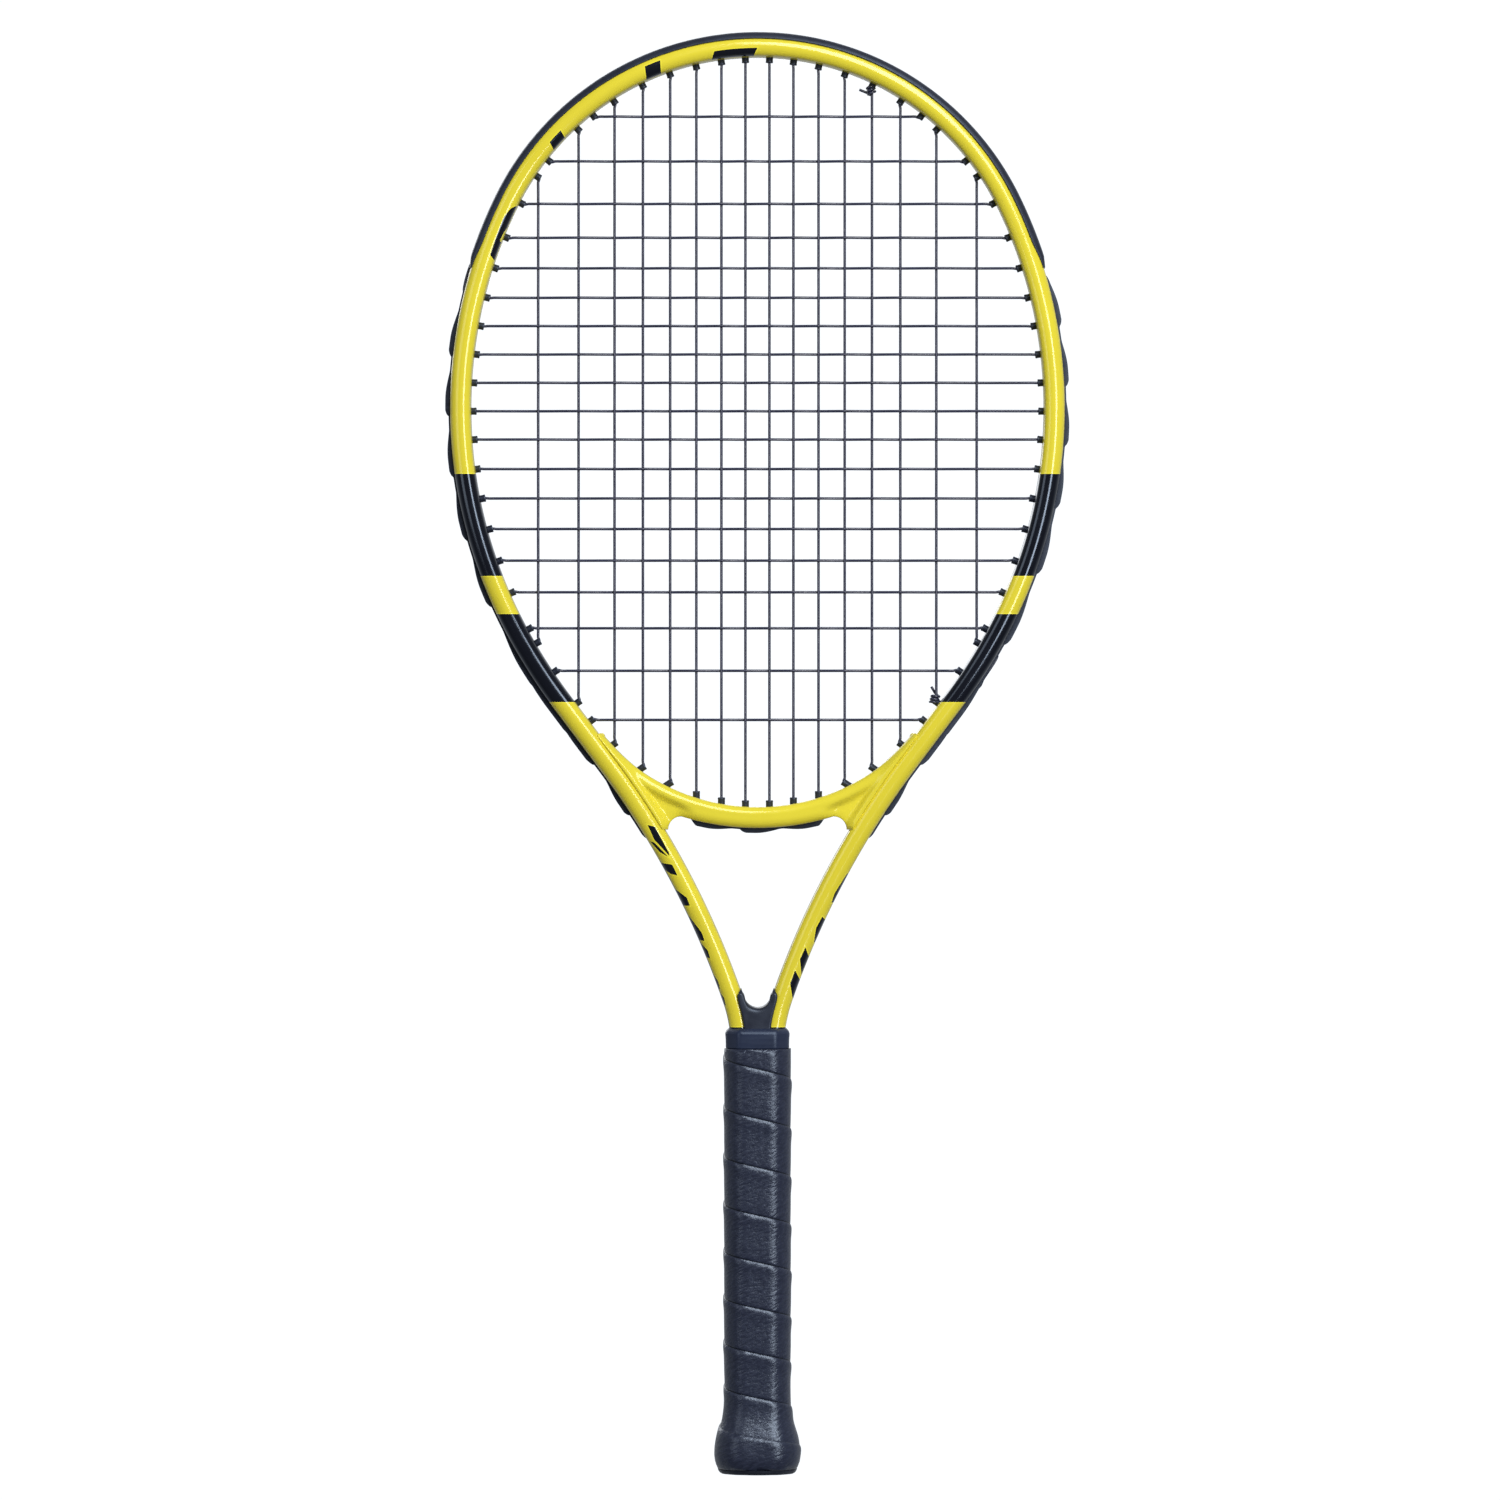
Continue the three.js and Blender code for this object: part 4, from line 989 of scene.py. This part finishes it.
def cross_points(row, left_to_right):
    cross = crosses[row]
    reach = abs(cross["left"]["mouth"][0]) - CROSS_CLEAR
    woven = [crossing(index, row, CROSS_SWING) for index, main in enumerate(mains) if abs(main["x"]) < reach]
    points = inside_head(cross["left"], cross["right"], (1, 0, 0), (0, 0, cross["z"]), woven)
    return points if left_to_right else points[::-1]


def lace():
    """One string laces the racket: up and down the mains from right to left, then across from the
    lowest cross string to the highest. Gives its points, and each outside loop's two holes."""
    last = len(mains) - 1
    points, loops = [exit_of(mains[last]["bottom"], LOOP_START_U)], []

    def loop(start, end, v):
        loops.append((start, end))
        points.extend(loop_points(start, end, v))

    for index in range(last, -1, -1):
        upwards = (last - index) % 2 == 0
        points.extend(main_points(index, upwards))
        if index:
            end = "top" if upwards else "bottom"
            v = LOOP_V if not upwards and mains[index]["x"] < 0 else -LOOP_V
            loop(mains[index][end], mains[index - 1][end], v)
    loop(mains[0]["bottom"], crosses[-1]["left"], -LOOP_V)
    for count, row in enumerate(range(len(crosses) - 1, -1, -1)):
        left_to_right = count % 2 == 0
        points.extend(cross_points(row, left_to_right))
        side = "right" if left_to_right else "left"
        if row:
            loop(crosses[row][side], crosses[row - 1][side], LOOP_V)
        else:
            points.append(exit_of(crosses[row][side], LOOP_START_U))
    return points, loops


def knot(hole, way, tail):
    """Two turns and a hitch at a hole's mouth. way is the direction in which the turns follow."""
    way = unit(np.array(way, float))
    side = unit(np.cross(way, [0, 1, 0]))
    other = np.cross(way, side)
    middle = hole["mouth"] - way * 1.2
    radius = 2.6 * STRING_RADIUS
    coil = []
    for k in range(28):
        angle = 2 * math.pi * k / 10
        round_it = math.cos(angle) * side + math.sin(angle) * other
        coil.append(middle + way * 0.14 * k + radius * round_it)
    hitch = middle + way * 2 - other * 2.9 + side * 1.1
    over = middle + way * 3.4 - other * 2.2 - side * 0.7
    coil += [hitch, over, over + np.array(tail) * 0.4, over + np.array(tail)]
    return tube(curve_through(coil, 0.5), STRING_RADIUS * 0.95, 10)


def strings():
    points, loops = lace()
    last = len(mains) - 1
    tied_low, tied_high = mains[last - 1], mains[last - TOP_MAIN_TIED_TO]
    laced = tube(curve_through(points, STRING_STEP), STRING_RADIUS, 10)
    low_loop = loop_points(mains[last]["bottom"], tied_low["bottom"], -LOOP_V)
    high_loop = loop_points(crosses[0]["right"], tied_high["top"], LOOP_V)
    low_tail = [tied_low["bottom"]["mouth"], *low_loop[::-1]]
    high_tail = [*high_loop, tied_high["top"]["mouth"]]
    lines = [curve_through(line, STRING_STEP) for line in (low_tail, high_tail)]
    tails = [tube(line, STRING_RADIUS * 0.98, 10) for line in lines]
    knots = [knot(tied_low["bottom"], (0.3, 0, 1), (-2.6, 0, 4.4))]
    knots.append(knot(tied_high["top"], (0.2, 0, -1), (-5, 0, 2)))
    piece("string_bed", [laced, *tails, *knots], string_navy, ["string"], sharp=80)
    return loops


# ---- Handle ----
def octagon(size, corner, steps=6):
    half_width, half_depth, half_facet = size
    half_side = half_depth - half_width + half_facet
    right = [(half_facet, -half_depth), (half_width, -half_side)]
    right += [(half_width, half_side), (half_facet, half_depth)]
    corners = [*right, *[(-x, y) for x, y in reversed(right)]]
    return rounded(corners, [corner] * 8, steps)


class Loop:
    """A closed outline read by its share of the way round, from the middle of the front facet."""

    def __init__(self, outline):
        start = np.array([[0, outline[:, 1].min()]])
        self.line = np.concatenate([start, outline, start])
        self.reach = reach_along(self.line)
        self.length = self.reach[-1]

    def at(self, share):
        place = (share % 1) * self.length
        return np.array([np.interp(place, self.reach, self.line[:, k]) for k in range(2)])

    def facing(self, share):
        ahead = self.at(share + 0.004) - self.at(share - 0.004)
        return unit(np.array([ahead[1], -ahead[0]]))


flare_line = curve_through([(z, scale) for z, scale in FLARE], 0.5)


def flare(z):
    return np.interp(z, flare_line[:, 0], flare_line[:, 1])


WRAP_TURNS = (-1.3, 9.3)
WRAP_STEPS = 150  # for each turn
WRAP_FIRST_Z = 185.4  # where the first seam crosses the middle of the front
WRAP_PITCH = 22.87
WRAP_TIGHTENING = 0.2  # the turns lie closer together towards the butt
# Across the strip: share of the pitch below its upper edge, and height over the handle.
WRAP_SECTION = (
    (-0.008, -0.6), (-0.006, -0.25), (-0.001, -0.02), (0.008, 0.1), (0.03, 0.28), (0.052, 0.43),
    (0.08, 0.5), (0.11, 0.5), (0.16, 0.43), (0.22, 0.31), (0.3, 0.18), (0.4, 0.12), (0.52, 0.1),
    (0.66, 0.08), (0.78, 0.03), (0.88, -0.01), (0.94, -0.07), (0.975, -0.18), (0.992, -0.42),
    (1.006, -0.66), (1.02, -0.95), (0.5, -0.95), (-0.008, -0.95),
)


def wrap_z(turns):
    crowding = 2.2 * float(smooth(turns, 7, 8))
    return WRAP_FIRST_Z - WRAP_PITCH * turns + WRAP_TIGHTENING * turns**2 + crowding


def wrap():
    """The grip: one strip of leather wound down the handle, its upper edge over the turn above."""
    loop = Loop(octagon(GRIP, 4, 8))
    low, high = cad_box("grip")
    rings, lay = [], []
    for turns in np.arange(*WRAP_TURNS, 1 / WRAP_STEPS):
        point, facing = loop.at(turns), loop.facing(turns)
        ring, row = [], []
        pitch = WRAP_PITCH - 2 * WRAP_TIGHTENING * turns
        for share, height in WRAP_SECTION:
            z = wrap_z(turns) - share * pitch
            wobble = noise.noise(Vector((point[0] * 0.09, point[1] * 0.09, z * 0.05)))
            out = height + 0.14 * wobble
            x, y = point * flare(z) + facing * out
            ring.append((x, y, z))
            row.append((turns * loop.length, share * pitch, share))
        rings.append(ring)
        lay.append(row)
    made = piece("grip_wrap", [shell(rings, lay=lay)], grip_leather, ["grip"], sharp=60)
    trim(made.data, low[2], high[2])


def trim(mesh, low, high):
    """Cuts the strip off level at the handle's two ends and closes the cuts."""
    work = bmesh.new()
    work.from_mesh(mesh)
    for z, way in ((low, -1), (high, 1)):
        geometry = [*work.verts, *work.edges, *work.faces]
        cut = bmesh.ops.bisect_plane(
            work, geom=geometry, plane_co=(0, 0, z * MM), plane_no=(0, 0, way), clear_outer=True
        )
        edges = [e for e in cut["geom_cut"] if isinstance(e, bmesh.types.BMEdge)]
        bmesh.ops.holes_fill(work, edges=edges, sides=0)
    work.to_mesh(mesh)
    work.free()


COLLAR_CORNER = 1.6


def collar():
    """The rubber ring: its outside, its bevelled lip and its inside, each as (z, growth)."""
    low, high = (corner[2] for corner in cad_box("collar"))
    outside = [(low - 0.2, -0.35), (low, -0.05), (low + 0.5, 0.05), (low + 4, 0.1), (high - 2.6, 0.3)]
    lip = [(high - 2.35, 0.26), (high - 1.4, -0.14), (high - 1.15, -0.32)]
    lip += [(high - 0.2, -1.25), (high, -1.6)]
    inside = [(high, -3.4), (high - 0.8, -3.6), (high - 1, -1.6), (low + 0.4, -0.9), (low - 0.2, -0.8)]
    half_width, half_depth, half_facet = COLLAR
    rings = []
    for z, growth in [*outside, *lip, *inside]:
        size = (half_width + growth, half_depth + growth, half_facet + growth * math.tan(math.pi / 8))
        rings.append([(x, y, z) for x, y in octagon(size, max(0.4, COLLAR_CORNER + growth))])
    body = shell(rings, cyclic=True)
    piece("collar_ring", [body], collar_rubber, ["collar"], sharp=50)


def rectangle(half_x, half_y):
    return [(half_x, -half_y), (half_x, half_y), (-half_x, half_y), (-half_x, -half_y)]


def polar(outline, angles):
    """An outline's points on rays from the middle."""
    own = np.arctan2(outline[:, 1], outline[:, 0])
    order = np.argsort(own)
    own, size = own[order], np.hypot(*outline[order].T)
    radius = np.interp(angles, own, size, period=2 * math.pi)
    return np.stack([radius * np.cos(angles), radius * np.sin(angles)], axis=1)


def cap():
    """The butt cap: a lip under the grip, a dished underside, and the doorway through its floor."""
    angles = np.linspace(-math.pi, math.pi, 160, endpoint=False)
    cap_top = cad_box("butt_cap")[1][2]
    doorway = rectangle(*(cad_box("butt_cap_door")[1][:2] + GAP))
    hole = polar(rounded(doorway, [1.8] * 4, 12), angles)
    base = (GRIP[0] - GRIP_THICKNESS - GAP, GRIP[1] - GRIP_THICKNESS - GAP, GRIP[2] - 0.56)
    outside = lambda scale: polar(octagon([k * scale for k in base], 2.6 * scale, 10), angles)
    pocket = polar(octagon([k - 0.1 for k in (14.2, 12.7, 8.27)], 1, 10), angles)
    blend = lambda share: hole + (outside(1.1) - hole) * share
    wall = [(flare(cap_top), cap_top), (flare(10), 10), (1.28, 6), (1.17, 2.6), (1.17, 2.1)]
    lip = [(1.255, 1.9), (1.25, 1.5), (1.23, 0.9), (1.2, 0.35), (1.175, 0.05)]
    lip += [(1.15, 0), (1.12, 0), (1.1, 0.12)]
    rows = [(outside(scale), z) for scale, z in (*wall, *lip)]
    rows += [(blend(share), z) for share, z in ((0.93, 0.5), (0.5, 0.62), (0.12, 0.62), (0.03, 0.7))]
    rows += [(hole, 0.95), (hole, 3), (blend(0.3), 3), (pocket, 3), (pocket, cap_top)]
    rings = [[(x, y, z) for x, y in flat] for flat, z in rows]
    body = shell(rings, cyclic=True)
    piece("butt_cap_moulding", [body], cap_black, ["butt_cap"], sharp=45)


def door():
    """The cap's door: a rounded plate with a finger dish and three ribs on its underside."""
    low, high = cad_box("butt_cap_door")
    angles = np.linspace(-math.pi, math.pi, 96, endpoint=False)
    edge = polar(rounded(rectangle(*high[:2]), [1.5] * 4, 10), angles)

    def underside(x, y):
        dish = 0.55 * (1 - smooth(np.hypot(x / 6.2, y / 4.2), 0.55, 1))
        ribs = 0.4 * sum(np.exp(-(((x - k) / 0.42) ** 2)) for k in (-2.4, 0, 2.4))
        inside = 1 - smooth(np.abs(y) / 2.6, 0.8, 1)
        return low[2] + 0.15 + dish - ribs * inside * 0.9

    rows = [[(x, y, high[2]) for x, y in edge * share] for share in (0.02, 0.5, 0.95)]
    rows += [[(x, y, high[2] - 0.25) for x, y in edge], [(x, y, low[2] + 0.5) for x, y in edge]]
    rows += [[(x, y, low[2] + 0.12) for x, y in edge * 0.97]]
    for share in (*np.linspace(0.94, 0.1, 22), 0.02):
        rows.append([(x, y, float(underside(x, y))) for x, y in edge * share])
    piece("door_plate", [shell(rows)], cap_black, ["butt_cap_door"], "cap_door", 40)


# ---- Throat insert ----
INSERT_TIP_Z = 220.3
INSERT_TIP_HALF = 9.2
INSERT_SADDLE_RADIUS = 6.2
INSERT_SADDLE_DROP = 7.1
INSERT_LAP = (9.75, 10.9)  # depths of the plate that laps over the shafts
INSERT_FOOT_HALF = 6.2


def insert():
    """The saddle between the shafts: a core, and a plate front and back that laps over the tubes."""
    tip_z, end_z = INSERT_TIP_Z, cad_box("throat_insert")[0][2]
    saddle_z = tip_z - INSERT_SADDLE_DROP
    tip_out, tip_in = INSERT_TIP_HALF, INSERT_SADDLE_RADIUS
    right = []
    for angle in np.linspace(0, math.pi / 2, 14):
        right.append((tip_in * math.sin(angle), saddle_z + tip_in * (1 - math.cos(angle))))
    middle = (tip_in + tip_out) / 2
    cap_radius = (tip_out - tip_in) / 2
    for angle in np.linspace(math.pi, 0, 9)[1:-1]:
        rise = cap_radius * (math.sin(angle) - 1)
        right.append((middle + cap_radius * math.cos(angle), tip_z + rise))
    flank = [(tip_out, tip_z - cap_radius), (tip_out - 0.1, tip_z - 3), (7.3, tip_z - 10)]
    flank = curve_through([*flank, (INSERT_FOOT_HALF, 204), (6, end_z)], 0.8)
    outer = along_line([*flank, (0, end_z)], len(right) + 1)[::-1]
    tops = both_sides(np.array([*right, flank[0]]))
    lowers = both_sides(outer)
    saddle = np.array(right)

    def face(x, z):
        x = np.abs(x)
        dip = (1 - bulge(distance_to(saddle[:14], x, z), 3.2)) ** 1.5 * (2.4 - 1.9 * smooth(x, 3.5, 6))
        edge = bulge(distance_to(np.array([*right[14:], *flank]), x, z), 0.9)
        return INSERT_LAP[0] + (INSERT_LAP[1] - INSERT_LAP[0]) * (0.15 + 0.85 * edge) - dip

    under = lambda x, z: np.minimum(face(x, z) - 0.3, INSERT_LAP[0] - 0.1)
    front = between(tops, lowers, lambda x, z: -face(x, z), lambda x, z: -under(x, z), 18)
    back = between(tops, lowers, under, face, 18)
    tip_s, end_s = s_at_height(tip_z), s_at_height(end_z)
    side = [on_rim(s, SEAM_U)[[0, 2]] for s in np.linspace(tip_s, end_s, 24)]
    core_outer = along_line([*side, (0, end_z)], len(right))[::-1]
    depth = lambda x, z: np.minimum(under(x, z) + 0.15, 9.6)
    core = between(both_sides(saddle), both_sides(core_outer), lambda x, z: -depth(x, z), depth, 10)
    piece("throat_saddle", [front, back, core], trim_black, ["throat_insert"], sharp=50)


# ---- CAD nodes that show as they are ----
def dress(node, material):
    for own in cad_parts[node].material_slots:
        own.material = material


# ---- Studio ----
FLOOR_Z = -0.28
FLOOR_RADIUS = 2.4
AIM_Z = 0.33
# Each light: place, width and height, power.
LIGHTS = {
    "strip": ((1.35, -2.5, 0.43), (0.6, 1.36), 25),
    "softbox": ((0.75, -2.2, 1.9), (1.6, 1.5), 62),
    "fill": ((-1.9, -2.1, 0.9), (1.0, 1.8), 9),
    "back": ((-0.9, 2.3, 1.3), (2.5, 1.4), 20),
}


def light_up(name, place, size, power):
    data = bpy.data.lights.new(name, "AREA")
    data.shape = "RECTANGLE"
    data.size, data.size_y = size
    data.energy = power
    light = bpy.data.objects.new(name, data)
    light.location = place
    aim = Vector((0, 0, AIM_Z)) - Vector(place)
    light.rotation_euler = aim.to_track_quat("-Z", "Y").to_euler()
    light.visible_camera = False
    bpy.context.scene.collection.objects.link(light)


def surroundings():
    """White where the camera looks past the racket. Otherwise dim in front, and pale behind."""
    r = Recipe("surroundings", "worlds", "Background", Color=(0.93, 0.96, 1, 1))
    depth = r.add("SeparateXYZ", Vector=r.coords["Generated"]).outputs["Y"]
    white = r.math("MULTIPLY", r.add("LightPath").outputs["Is Camera Ray"], 1.1)
    strength = r.math("MAXIMUM", white, r.ranged(depth, 0.07, 0.5, -0.3, 0.5))
    bpy.context.scene.world = r.finish(Strength=strength)


def studio():
    work = bmesh.new()
    bmesh.ops.create_circle(work, cap_ends=True, segments=64, radius=FLOOR_RADIUS)
    mesh = bpy.data.meshes.new("floor")
    work.to_mesh(mesh)
    work.free()
    r = Recipe("floor_white", Specular_IOR_Level=0.1)
    tone = r.mixed(r.noise(0.8, 2), (0.86, 0.86, 0.86, 1), (0.9, 0.9, 0.9, 1))
    mesh.materials.append(r.finish(Base_Color=tone, Roughness=r.ranged(r.noise(4, 2), 0.8, 0.95)))
    floor = bpy.data.objects.new("floor", mesh)
    floor.location.z = FLOOR_Z
    floor.visible_diffuse = floor.visible_glossy = False  # it sends no light back to the racket
    bpy.context.scene.collection.objects.link(floor)
    surroundings()
    for name, setting in LIGHTS.items():
        light_up(name, *setting)
    bpy.context.scene.view_settings.view_transform = "Standard"


# ---- Making ----
painted_tube()
bridge()
guard()
grommets(strings())
wrap()
collar()
cap()
door()
insert()
for node in ("pallet_front", "pallet_back"):
    dress(node, core_grey)
for node in ("cap_screw_front", "cap_screw_back", "half_screw_lower", "half_screw_upper"):
    dress(node, screw_steel)
studio()
